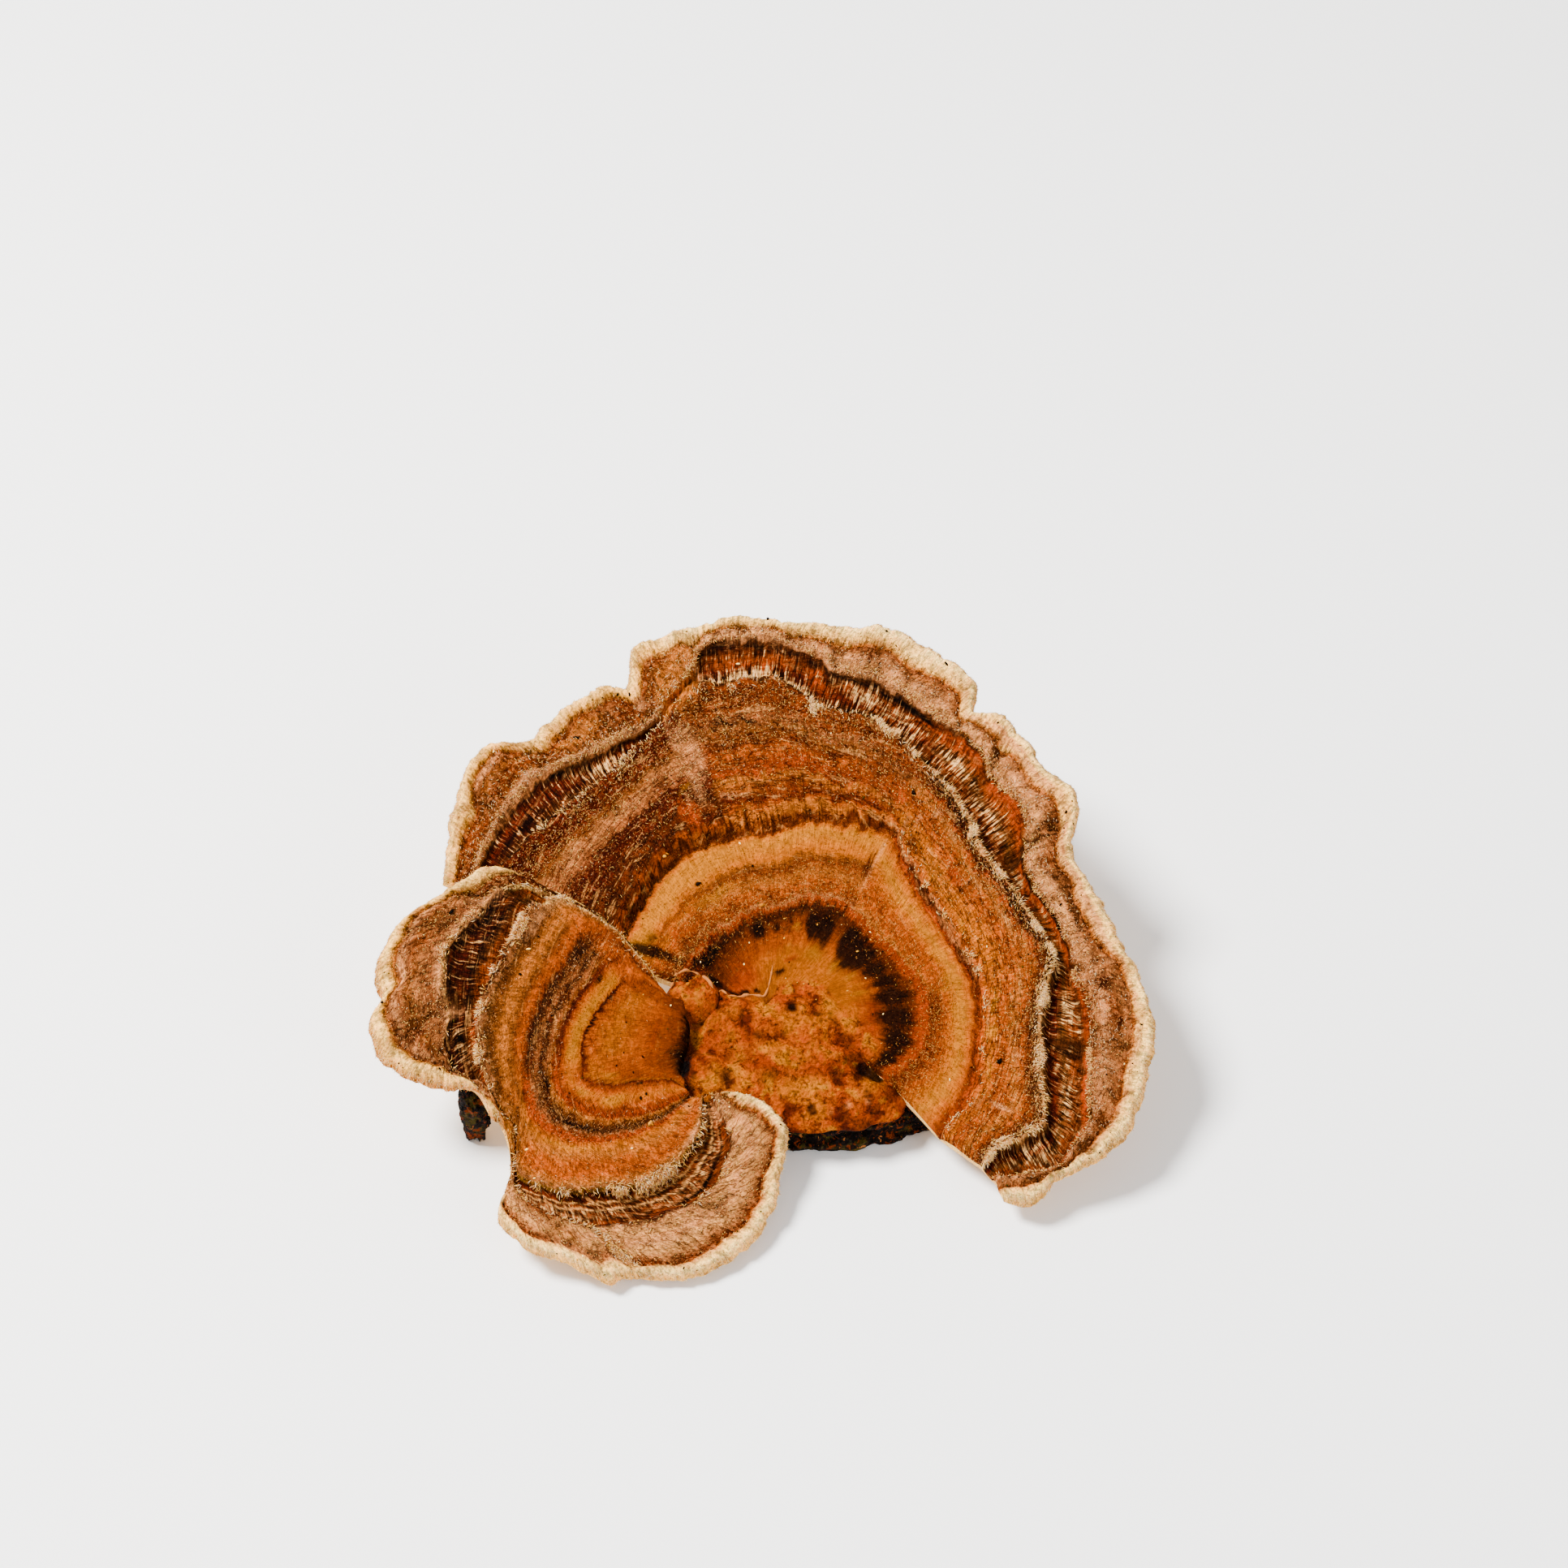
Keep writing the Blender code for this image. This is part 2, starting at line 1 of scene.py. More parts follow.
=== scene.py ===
"""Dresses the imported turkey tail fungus: two banded, felted fans, their lumpy hub, mossy bark and a stage.

The fans are drawn as in the solids, from the same growth lines, heights and reliefs, but finely enough for
ragged zone edges, fibre ridges and felt. Lengths are millimetres unless a name or comment says otherwise.
Growth counts the growth lines from the root of a fan out to its margin."""

import math
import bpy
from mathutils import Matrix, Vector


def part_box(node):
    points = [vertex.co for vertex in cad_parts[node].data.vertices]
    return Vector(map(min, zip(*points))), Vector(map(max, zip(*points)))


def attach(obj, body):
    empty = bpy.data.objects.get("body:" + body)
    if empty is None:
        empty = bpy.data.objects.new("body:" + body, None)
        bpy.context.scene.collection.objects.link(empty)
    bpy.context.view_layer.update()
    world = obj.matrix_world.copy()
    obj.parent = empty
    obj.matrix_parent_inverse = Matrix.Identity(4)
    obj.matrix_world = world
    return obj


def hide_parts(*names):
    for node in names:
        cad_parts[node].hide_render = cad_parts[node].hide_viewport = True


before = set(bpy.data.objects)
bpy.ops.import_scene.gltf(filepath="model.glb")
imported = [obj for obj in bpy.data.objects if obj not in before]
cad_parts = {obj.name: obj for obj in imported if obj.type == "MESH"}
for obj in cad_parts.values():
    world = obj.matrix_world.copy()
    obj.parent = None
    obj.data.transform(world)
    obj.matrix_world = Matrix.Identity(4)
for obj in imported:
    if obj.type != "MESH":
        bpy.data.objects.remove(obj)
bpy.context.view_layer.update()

from types import SimpleNamespace

import bpy
import numpy as np
from mathutils import Vector

bl_info = {
    "name": "Turkey tail fungus",
    "version": (1, 0, 0),
    "blender": (4, 5, 0),
    "location": "View3D > Sidebar > Fungus",
    "description": "Builds the banded, felted fans of a turkey tail fungus with its hub and bark on a stage",
    "category": "Add Mesh",
}

MM = 0.001
BARK_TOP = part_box("bark")[1][2] / MM

# ---- driving dimensions, as in the solids
GROWTH_CENTRE_HEIGHT = 12.2
JOIN_GAP = 0.3
TISSUE_AT_ROOT = 3.2
TISSUE_AT_RIM = 1.7
EDGE_ROUND = 0.9
ROOT_ROUND = 0.06  # growth
CURVE_STEPS = 12

# The large fan, seen from above: (bearing in degrees, reach) from the growth centre
MAIN_ROOT = [(-60, 1.2), (0, 0.8), (60, 0.8), (110, 1), (140, 2.8), (170, 4.3), (200, 4)]
MAIN_START = 4.5  # from the growth centre, where its growth counts from 0
MAIN_RED_LINE = [
    (-38, 15), (-24, 17), (-12, 17.3), (1, 17), (11, 15.9), (24, 14.3), (39, 13.4), (57, 14), (66, 14.6),
    (82, 14.3), (99, 13.6), (114, 13.9), (129, 14.1), (143, 15), (162, 15.8), (169, 16.2),
]
MAIN_LEDGE = [
    (-42, 25.2), (-28, 25.6), (-10, 24.6), (0, 24), (10, 23), (20, 21.9), (36, 21.5), (51, 23.1), (61, 25.4),
    (77, 24.7), (87, 24.4), (99, 23.2), (116, 24.5), (132, 25.6), (144, 25.6), (161.5, 26), (164, 26.2),
]
MAIN_CREST = [
    (-41, 32.2), (-36, 33.3), (-29, 36.5), (-25, 35.4), (-14, 32.8), (-4, 32.1), (3, 34), (7, 33.8),
    (13, 32.4), (20, 31.6), (33, 30.2), (42, 31.1), (52, 32.6), (61, 33.8), (74, 36), (84, 36.2), (95, 39.5),
    (105, 39.9), (110, 40.6), (124, 38.2), (136, 38.1), (145, 39.6), (156, 42.3), (163, 44),
]
MAIN_GROOVE = [
    (-41.5, 34.5), (-34, 40.4), (-29, 41.2), (-24, 41.8), (-18, 40.2), (-6, 38.8), (1, 36.9), (7, 36.2),
    (14, 35.6), (25, 33.8), (35, 37.1), (45, 37.9), (53, 39.7), (67, 40.7), (75, 42), (82, 41.2), (88, 43.4),
    (97, 45.2), (106, 46), (111, 43), (122, 40.4), (134, 42.5), (142, 45.3), (150, 46.5), (163, 47),
]
MAIN_MARGIN = [
    (-43.2, 37), (-41, 40), (-38.4, 41.1), (-35, 41.4), (-31, 43.2), (-27.5, 45.6), (-21.4, 47.2),
    (-7.7, 47.7), (1.8, 45.2), (5.2, 43.6), (12.6, 42.4), (19.1, 41.6), (24.7, 40.6), (29.6, 43.4),
    (34, 44.6), (39.3, 43.7), (46.8, 44.7), (53, 45.5), (56.5, 43.6), (58.5, 46.6), (67, 48), (76, 48.8),
    (81, 47.7), (94.6, 47.8), (101, 49), (110.5, 49.5), (117.5, 49.4), (120.5, 46.6), (124, 48), (130, 49.3),
    (136, 50), (138, 50.2), (143, 53.6), (148.6, 53.8), (156, 52.2), (163, 50.5),
]
# (bearing, reach, rise above the growth centre)
MAIN_RISE = [
    (-44, 37, -7.6), (-30, 46.5, -4.8), (-10, 47.6, 3), (5, 44, 8.6), (25, 42, 14), (40, 44, 17.6),
    (55, 45.5, 20.6), (75, 48, 24.6), (95, 48, 24.8), (112, 49, 23), (125, 48.5, 20.4), (145, 53, 15.6),
    (165, 50.5, 10),
]
RISE_POWER = 1.15

# The second fan, seen from above: (x, y), from the end of the bottom lobe round to the top
SIDE_ROOT = [
    (-15.2, -10.8), (-15.8, -9.4), (-15.4, -7.6), (-14.8, -5.8), (-14.6, -4), (-14.8, -2.4), (-15.4, -1),
]
SIDE_LINE_1 = [
    (-15.2, -11.5), (-17.3, -10.6), (-21.2, -11), (-24.8, -11.8), (-28.2, -11.5), (-28.8, -8.8),
    (-28.2, -5.4), (-26.2, -2.2), (-23.9, 0.2), (-21.2, 0.8), (-19, 0.2), (-17.2, -0.6),
]
SIDE_YELLOW = [
    (-14.6, -12.1), (-16.7, -13.2), (-19.7, -14.6), (-24, -15.6), (-28.2, -15.4), (-31.4, -13.6),
    (-32.2, -10.4), (-31.6, -6.6), (-30, -2.8), (-27.6, 0.6), (-25.6, 3), (-23, 3.8), (-20.6, 2), (-18, 0.1),
]
SIDE_DARK = [
    (-14, -12.6), (-15.9, -14.2), (-17.9, -16), (-22, -18.1), (-27, -19.4), (-31.6, -19), (-35.5, -16.6),
    (-36.6, -12.9), (-36.4, -9.5), (-35.6, -5.2), (-34, -1.4), (-31.8, 2), (-29.4, 5.6), (-26.6, 7),
    (-23.4, 5.2), (-20.8, 2.6), (-18.6, 0.7),
]
SIDE_LEDGE = [
    (-12.8, -12.7), (-13.2, -16.8), (-14.9, -20.1), (-17.8, -22.7), (-21.6, -24.9), (-26, -25.6),
    (-30.8, -26.3), (-34, -25.3), (-36.9, -23.6), (-37.2, -20.2), (-37.4, -17.6), (-39.8, -15.7),
    (-41.2, -13.2), (-42.2, -10.6), (-42.3, -6.6), (-41.2, -2.6), (-39.4, 1.2), (-37.2, 4.4), (-35.4, 7.4),
    (-32.6, 9.2), (-29.4, 8.6), (-24.6, 6.4), (-21.2, 3.3), (-19.2, 1.2),
]
SIDE_GROOVE = [
    (-11.5, -12.5), (-9.8, -16.5), (-9.5, -19.8), (-11.4, -23.8), (-13.5, -26), (-17, -27.4), (-20.4, -29),
    (-24.6, -29.8), (-29, -30.3), (-33.8, -29.2), (-37.2, -25.6), (-37.4, -21.6), (-37.6, -18),
    (-40.2, -16.1), (-41.7, -14), (-45.2, -12.8), (-46.4, -10.8), (-46.8, -9.2), (-45.6, -6.2),
    (-46.4, -2.6), (-46.5, 0.8), (-45.4, 3.2), (-42.6, 6.2), (-41, 8.6), (-38.6, 9.8), (-34.8, 10), (-30, 9),
    (-25, 6.9), (-21.3, 3.7), (-19.6, 1.5),
]
SIDE_MARGIN = [
    (-10, -11.9), (-7.6, -11.8), (-4.6, -12.6), (-2.4, -14.6), (-1.6, -17.4), (-2.1, -21.4), (-3.2, -25.5),
    (-5, -28.9), (-6.4, -31), (-9.4, -33.4), (-14.3, -35.8), (-19.5, -35.9), (-22.3, -35.5), (-24.3, -36.8),
    (-26.6, -36.3), (-30.1, -35.2), (-34.3, -33.9), (-38.4, -31.1), (-39.3, -28.6), (-37.8, -26.6),
    (-38, -23.8), (-37.9, -20.3), (-37.9, -17.8), (-40.6, -16.7), (-42, -14.4), (-45.4, -14.3), (-50.6, -14),
    (-54.7, -12.2), (-56.4, -8.8), (-56.3, -6.6), (-55.2, -4.6), (-56.2, -2.2), (-54.8, 1.9), (-52.2, 5.6),
    (-47.2, 8.9), (-44.4, 11), (-42.6, 12.3), (-40.4, 12.4), (-37.8, 11.6), (-34.6, 10.8), (-30.4, 9.8),
    (-25.6, 7.6), (-21.8, 4.6), (-20, 2.2),
]
SIDE_LEAN = (17.3, -0.105, 0.458)  # height at x = y = 0, and its change along x and y
SIDE_DISH = (-15.0, -7.0, 30.0, 3.2)  # x, y, radius, depth

# Reliefs: (growth, lift)
MAIN_RELIEF = [
    (0, 0), (0.9, 0), (1, 0.35), (1.15, 0), (1.5, 0.45), (1.86, 0.1), (1.98, -0.9), (2.07, 0.1), (2.4, 0.5),
    (2.85, 0.5), (2.98, 1.6), (3.06, 1.3), (3.22, -0.5), (3.8, -0.8), (3.93, 0.1), (4.08, 0.9), (4.5, 1.2),
    (4.92, 0.5), (5, 0.2), (5.3, 0.9), (5.7, 0.8), (6, 0),
]
SIDE_RELIEF = [
    (0, 0.3), (0.9, 0), (1, -0.25), (1.2, 0), (1.6, 0.25), (1.95, 0.35), (2.1, -0.1), (2.5, -0.35),
    (2.9, -0.2), (3.1, 0.2), (3.6, 0.5), (3.9, 0.9), (3.98, 1.2), (4.15, -0.7), (4.8, -0.7), (5.12, 0.7),
    (5.6, 1), (5.94, 0.4), (6, 0.1), (6.3, 0.7), (6.7, 0.6), (7, 0),
]
MAIN_STEP = [(-45, 0.3), (40, 0.4), (75, 1), (105, 1.8), (130, 2.4), (165, 1.8)]  # (bearing, rise)
STEP_FOOT, STEP_TOP, STEP_FADED = 1.98, 2.08, 5.2  # growth
# Soft swells and dips: (x, y, radius, lift)
MAIN_SWELLS = [
    (2, 45, 6, 0.8), (-9, 45, 5, 0.7), (15, 42, 4, -0.9), (21, 41, 4, 0.8), (32, 31, 4, 0.9),
    (37, 24, 3.5, 0.8), (43, 3, 6, 0.7), (42, -12, 6, -0.6), (38, -22, 6, 0.6), (-30, 38, 5, 0.7),
    (-43, 31, 6, 0.8), (-38, 38, 4, -0.7), (-25, 7, 6, -2.2), (-36, 11, 6, -2), (-46, 13, 6, -1.6),
    (-9.5, 3.2, 3, -1.6), (6.2, 39.6, 2, 1.2), (11.3, 41.7, 2, 1), (30.9, 23.6, 3.5, 0.9),
    (35.5, 11.6, 3, 0.5),
]
SIDE_SWELLS = [
    (-39, -22, 6, -3.4), (-38, 7, 2.6, 2), (-42.6, 8.2, 2.4, -2), (-51, -0.5, 4, 0.9), (-51, -9.6, 3.4, 0.4),
    (-47, -13, 3, -1), (-30, -33, 5, 0.8), (-12, -31, 6, 0.8), (-5, -20, 5, 0.6), (-22, -35, 2, -0.9),
]
# Folds where the tissue steps up to the right of a run:
# (x0, y0, x1, y1, width, lift at the start, lift at the end, fade)
MAIN_FOLDS = [
    (-11, 26, -23.5, 43.5, 1.1, 0.4, 2.2, 22), (22, 27, 26, 39, 1.2, 0, -1.3, 12),
    (30, 15, 38, 17, 1.2, 0, -1.2, 12), (8, 12.5, 12.5, 22.3, 0.8, 0.4, 0.6, 6),
]
SIDE_FOLDS = [
    (-45.5, -8.4, -56.3, -4.6, 0.9, 1.1, 0.7, 9), (-42.5, 3.5, -47.5, 9, 1, 0.8, 0.8, 6),
]
FOLD_OVERRUN = 4.0
FOLD_TAPER = 3.0
FOLD_SHARPNESS = 0.25

# The hub, seen from above: (bearing, reach) about its own middle
HUB_MIDDLE = (-1.0, -5.0)
HUB_OUTLINE = [
    (-180, 16.6), (-165, 15.6), (-150, 14.6), (-130, 12.6), (-110, 11.4), (-90, 11), (-65, 12), (-45, 14.6),
    (-30, 17), (-10, 16), (15, 14), (45, 12), (75, 12), (100, 11), (115, 9.4), (132, 11), (144, 16),
    (151, 18.4), (158, 18), (166, 16.9), (180, 16.6),
]
HUB_LEAN = (10.8, 0.02, 0.27)  # height at its middle, and its change along x and y
HUB_DOME = 1.4
HUB_WAIST = 0.35  # share of its height
# (x, y, radius, lift)
HUB_KNOBS = [
    (-13.1, -9.5, 2.5, 1.9), (-9.4, -6.4, 1.7, -1.5), (-14.3, 2.4, 2.4, 1.3), (-10.6, 2.4, 0.8, 0.9),
    (-11.8, 3.6, 1, -1.2), (-8, 0, 2.2, 0.9), (-10, -2.8, 2.4, 0.7), (-3.4, -3, 2, 0.5),
    (-0.9, -0.3, 0.9, -0.5), (2.6, -4.2, 2.2, 0.6), (-4, -8, 2.4, 0.7), (3, -8.6, 2, 0.8),
    (8.7, -7.9, 1.5, -1.8), (10.6, -8.8, 1.2, -1.4), (-4.7, -11.4, 1.1, 0.4), (-1.8, -12.4, 1.1, 0.4),
    (1, -12.8, 1.1, 0.4), (3.8, -12.3, 1.1, 0.4), (6.4, -10.8, 1.1, 0.4), (8.4, -12.8, 2.2, 0.7),
    (-6.4, 3.4, 1.4, -1.2), (11, -5, 2.6, -0.8),
]
# Pale curled lips at the hub's back edge, seen from above: (x, y) along each
HUB_LIPS = [
    [(-17.4, 2.2), (-16.7, 3.6), (-15.4, 4.4), (-13.9, 4.4), (-12.4, 3.6), (-11.5, 2.2)],
    [
        (-11, 2), (-10.4, 2.8), (-9.6, 2.2), (-8, 2.1), (-6.4, 2.1), (-5, 1.7), (-4.4, 2.2), (-3.8, 4.2),
        (-3.5, 6),
    ],
]
HUB_LOBE = (-14.3, 1.3, 12.7)  # x, y and height of its middle
HUB_LOBE_RADII = (3.7, 3.3, 1.7)

# The bark chip, seen from above: (x, y)
BARK_OUTLINE = [
    (-17.5, -7), (-14.6, -8.6), (-15.5, -11.6), (-8, -13.4), (-2, -14.3), (4, -14.7), (10, -14),
    (15.6, -11.6), (19, -10.2), (17, -6.4), (20.2, -3.6), (17.6, 0.6), (18.8, 5), (13, 8.6), (6, 11.4),
    (-1, 12.4), (-7, 11), (-10, 8.4), (-14.4, 7.2), (-14.2, 3.6), (-17.4, 0.6), (-15.6, -2.8),
]
BARK_LEVELS = [(0, 0), (0.3, 0.35), (0.62, -0.25), (1, -0.2)]  # (share of the height, outward shift)
BARK_TOP_SHARE = 0.3  # of the way from the middle of the top to the middle of the underside
CRUMB_PLACE = (-43.4, -12.4, 6.3)
CRUMB_RADII = (2.0, 1.7, 6.4)

# ---- fineness and unevenness
UNDER_EVERY = 6  # the underside keeps one row in this many
END_CROWDING = 0.85
END_CROWDED = 7.0  # columns
HUB_BLEND = 0.9
HUB_COVER = 0.12  # how far the large fan dives below the hub where the hub is higher
HUB_FALL = 60.0  # how far its face falls outside its outline, for each time its reach
RIM_CROWDING = 1.7
RAGGED = 0.03  # growth by which the ledges wander

# Ripples of several sizes in one: (height, cells to a millimetre along u and along v, seed) of each
WANDER = [(1, 0.9, 0.12, 3), (0.6, 2.7, 0.3, 4)]
RIDGES = [(1, 1.9, 0.3, 11), (0.6, 3.4, 0.45, 12)]
LUMPS = [(1, 0.28, 0.34, 13), (0.6, 0.7, 0.8, 14)]
WRINKLES = [(1, 0.22, 1.5, 15), (0.5, 1.3, 2.4, 16)]
MARGIN_WOBBLE = [(0.26, 0.6, 0, 21), (0.2, 1.9, 0, 22)]
RIM_UNEVENNESS = [(0.3, 0.22, 0, 23)]
HUB_LUMPS = [(0.55, 0.42, 0.42, 31), (0.3, 1, 1, 32), (0.13, 2.4, 2.4, 33)]
LOBE_LUMPS = [(0.4, 0.7, 0.7, 35), (0.12, 2.6, 2.6, 36)]
BARK_FLAKES = [(0.7, 0.35, 2.2, 71), (0.4, 0.9, 5, 72)]
BARK_GRAIN = [(0.16, 2.6, 11, 75)]
BARK_CRAGS = [(0.35, 0.5, 0.5, 76), (0.25, 1.3, 1.3, 77)]
CRUMB_LUMPS = [(0.16, 1, 1, 81), (0.1, 2.7, 2.7, 82), (0.06, 6, 6, 83)]

# Clefts between the felted pads of the outer zone:
# (place across, growth from, growth to, half-width, depth), where the place is a bearing or a column share
MAIN_CLEFTS = [
    (139, 4.1, 6, 1.2, 0.8), (127, 4, 5, 1.6, 0.4), (108, 4, 5.6, 1.3, 0.8), (100, 4.1, 5.2, 1, 0.6),
    (91, 4, 5.4, 1.2, 0.7), (83, 3.9, 5.3, 1, 0.8), (75.5, 4, 5.5, 0.9, 0.8), (69.5, 4, 5, 0.8, 0.6),
    (57, 3.9, 5.2, 1, 0.6), (47.5, 3.7, 5.3, 1.1, 0.8), (30.5, 3.3, 5.8, 1.4, 1.1), (22, 4.4, 5.2, 1.2, 0.4),
    (3, 3.9, 5.1, 1, 0.8), (-10.5, 3.2, 5.2, 1.2, 0.8), (-15, 4, 5, 0.8, 0.4), (-23, 3.9, 5.4, 1.2, 0.8),
    (-28.5, 3.9, 5.8, 0.9, 0.6), (-33, 3.4, 5.6, 0.8, 0.6), (-37, 3.4, 5.4, 0.8, 0.5),
    (150, 4.2, 5.1, 1, 0.4),
]
SIDE_CLEFTS = [
    (28.5, 5, 6.6, 0.7, 0.5), (44, 3.4, 6.6, 1.6, 0.5), (53, 4.2, 6.8, 0.9, 0.7), (57.5, 5, 6.2, 0.8, 0.5),
    (62.5, 4.6, 6.2, 0.9, 0.7), (72.5, 5.1, 6.4, 0.8, 0.6), (78.5, 4, 6.2, 0.9, 0.8),
    (16, 5.1, 5.8, 0.8, 0.25),
]

# ---- colours
# Inks, ordered so that neighbours look alike, because hairs stray between neighbours. Text is the colour as
# it should look (sRGB). Numbers are a reflectance, for the bright and pale inks that ink()'s rule misses.
INKS = {
    "black": "#100805", "soot": "#24130B", "dark brown": "#40200F", "maroon": "#551709", "ox red": "#7C220A",
    "red brown": "#90380F", "rust": "#AC4A11", "red orange": (0.2, 0.022, 0),
    "vermilion": (0.235, 0.028, 0), "orange": (0.275, 0.043, 0), "amber": (0.31, 0.068, 0),
    "gold": (0.3, 0.09, 0.001), "butter": (0.46, 0.19, 0.015), "honey": (0.8, 0.38, 0.07),
    "cream": (0.93, 0.53, 0.12),
    "milk": (0.95, 0.63, 0.2), "frost": (0.95, 0.68, 0.38), "pink": (0.55, 0.2, 0.058),
    "pale tan": (0.58, 0.24, 0.06), "apricot": "#D58A42", "tan": (0.3, 0.092, 0.021),
    "pink brown": (0.2, 0.052, 0.011), "velvet": "#A85822", "umber": "#864E26", "brown": "#683214",
    "straw": (0.52, 0.27, 0.085), "ochre": "#BE883A", "olive": "#6A581C",
}
TONES = list(INKS)
LIGHT = 3.8  # how bright the studio light makes a white face that looks up
SHOULDER = 0.66  # redness past which the view turns bright colours down


def ink(name):
    """The reflectance that looks like the named colour in the studio light, as red, green, blue and 1.
    The view turns bright colours down and pale: red is raised against that, less in a strong colour, green
    follows, and blue is lowered unless the colour is pale anyway."""
    looks = INKS[name]
    if isinstance(looks, tuple):
        return (*looks, 1.0)
    values = [int(looks[i : i + 2], 16) / 255 for i in (1, 3, 5)]
    red, green, blue = [v / 12.92 if v <= 0.04045 else ((v + 0.055) / 1.055) ** 2.4 for v in values]
    cap = max(0.75 + 0.4 * green / red + 4.2 * blue / red, red)
    raised = min(red * (1 + (red / SHOULDER) ** 5), cap)
    lift = raised / red
    bright = min(max((red - 0.35) / 0.3, 0), 1)
    pale = min(max((blue / red - 0.3) / 0.4, 0), 1)
    followed = green * lift**0.7 * (green / red) ** (0.25 * bright)
    lowered = blue * (blue / green) ** (0.6 * (1 - pale) * min(1, red / 0.5)) * lift ** (0.5 * pale)
    return (*[min(v / LIGHT, 0.95) for v in (raised, followed, lowered)], 1.0)


# Bands of colour by growth, for each side of a fan inside its crest or ledge and outside it: (growth, ink)
# Painted shade: black and soot just outside the large fan's crest (near growth 3.0) and under its pads' edge
# (3.86 to 3.95)
BANDS_LEFT = [
    (0.1, "amber"), (0.25, "orange"), (0.42, "red orange"), (0.65, "rust"), (0.86, "soot"), (0.93, "soot"),
    (0.97, "ox red"), (1.01, "red orange"), (1.06, "brown"), (1.17, "rust"), (1.36, "orange"),
    (1.46, "amber"), (1.51, "rust"), (1.58, "amber"), (1.68, "gold"), (1.84, "gold"), (1.93, "orange"),
    (1.98, "brown"), (2.01, "black"), (2.04, "orange"), (2.065, "red brown"), (2.12, "dark brown"),
    (2.2, "red brown"), (2.26, "dark brown"), (2.33, "ox red"), (2.41, "maroon"), (2.47, "ox red"),
    (2.53, "pink brown"), (2.66, "tan"), (2.75, "velvet"), (2.83, "ox red"),
]
BANDS_LEFT_OUTER = [
    (2.86, "rust"), (2.92, "soot"), (2.96, "rust"), (3.02, "black"), (3.1, "dark brown"), (3.3, "brown"),
    (3.5, "maroon"), (3.75, "ox red"), (3.88, "dark brown"), (3.95, "tan"), (4.05, "pink"), (4.16, "velvet"),
    (4.4, "rust"), (4.7, "velvet"), (4.95, "rust"), (5.04, "red brown"), (5.12, "apricot"), (5.25, "butter"),
    (5.5, "honey"), (5.75, "cream"), (5.95, "honey"),
]
BANDS_TOP = [
    (0.12, "amber"), (0.28, "amber"), (0.5, "orange"), (0.75, "rust"), (0.9, "dark brown"),
    (0.99, "vermilion"), (1.03, "tan"), (1.08, "rust"), (1.2, "orange"), (1.32, "apricot"), (1.42, "rust"),
    (1.5, "velvet"), (1.58, "amber"), (1.82, "gold"), (1.93, "amber"), (1.975, "rust"),
    (2.005, "dark brown"), (2.025, "rust"), (2.06, "apricot"), (2.1, "orange"), (2.15, "ox red"),
    (2.22, "rust"), (2.3, "apricot"), (2.34, "red orange"), (2.44, "rust"), (2.5, "orange"),
    (2.58, "red brown"), (2.66, "velvet"), (2.76, "pink brown"), (2.84, "rust"),
]
BANDS_TOP_OUTER = [
    (2.82, "rust"), (2.88, "velvet"), (2.93, "pale tan"), (2.98, "umber"), (3.04, "dark brown"),
    (3.3, "brown"), (3.45, "ox red"), (3.75, "red brown"), (3.86, "soot"), (3.94, "brown"), (4.04, "pink"),
    (4.16, "pale tan"), (4.4, "pink"), (4.65, "tan"), (4.88, "pink brown"), (5.0, "red brown"),
    (5.07, "apricot"), (5.2, "honey"), (5.4, "cream"), (5.75, "milk"), (5.96, "honey"),
]
BANDS_RIGHT = [
    (0.12, "amber"), (0.3, "amber"), (0.5, "orange"), (0.8, "rust"), (0.9, "red brown"), (0.95, "vermilion"),
    (1.03, "vermilion"), (1.07, "apricot"), (1.2, "orange"), (1.4, "orange"), (1.52, "amber"),
    (1.66, "gold"), (1.8, "amber"), (1.92, "orange"), (1.97, "red orange"), (2.0, "ox red"), (2.05, "tan"),
    (2.1, "orange"), (2.2, "amber"), (2.35, "amber"), (2.48, "orange"), (2.62, "orange"), (2.74, "apricot"),
    (2.84, "red orange"), (2.89, "dark brown"),
]
BANDS_RIGHT_OUTER = [
    (2.84, "red orange"), (2.89, "dark brown"), (2.94, "tan"), (3.0, "pale tan"), (3.08, "umber"),
    (3.2, "brown"), (3.4, "red brown"), (3.6, "umber"), (3.78, "rust"), (3.88, "red orange"), (3.95, "soot"),
    (4.02, "velvet"), (4.12, "pink"), (4.3, "pale tan"), (4.5, "pink"), (4.72, "tan"), (4.92, "pink brown"),
    (5.0, "red brown"), (5.08, "apricot"), (5.22, "pale tan"), (5.42, "pink"), (5.6, "cream"), (5.8, "milk"),
    (5.96, "honey"),
]
BANDS_FRONT = [
    (0.15, "amber"), (0.3, "orange"), (0.42, "red orange"), (0.6, "orange"), (0.85, "rust"),
    (0.92, "red orange"), (0.96, "vermilion"), (1.05, "vermilion"), (1.1, "rust"), (1.22, "rust"),
    (1.35, "orange"), (1.5, "amber"), (1.65, "gold"), (1.78, "amber"), (1.88, "orange"), (1.96, "rust"),
    (2.0, "red orange"), (2.06, "orange"), (2.2, "amber"), (2.32, "orange"), (2.45, "orange"),
    (2.58, "apricot"), (2.7, "orange"), (2.8, "rust"), (2.88, "brown"),
]
BANDS_FRONT_OUTER = [
    (2.8, "rust"), (2.88, "brown"), (2.93, "tan"), (3.0, "pale tan"), (3.1, "umber"), (3.18, "maroon"),
    (3.34, "ox red"), (3.5, "umber"), (3.7, "rust"), (3.86, "brown"), (3.95, "red orange"), (4.05, "rust"),
    (4.14, "tan"), (4.35, "pink"), (4.6, "tan"), (4.85, "tan"), (5.02, "rust"), (5.12, "apricot"),
    (5.3, "pale tan"), (5.5, "cream"), (5.8, "milk"), (5.96, "honey"),
]
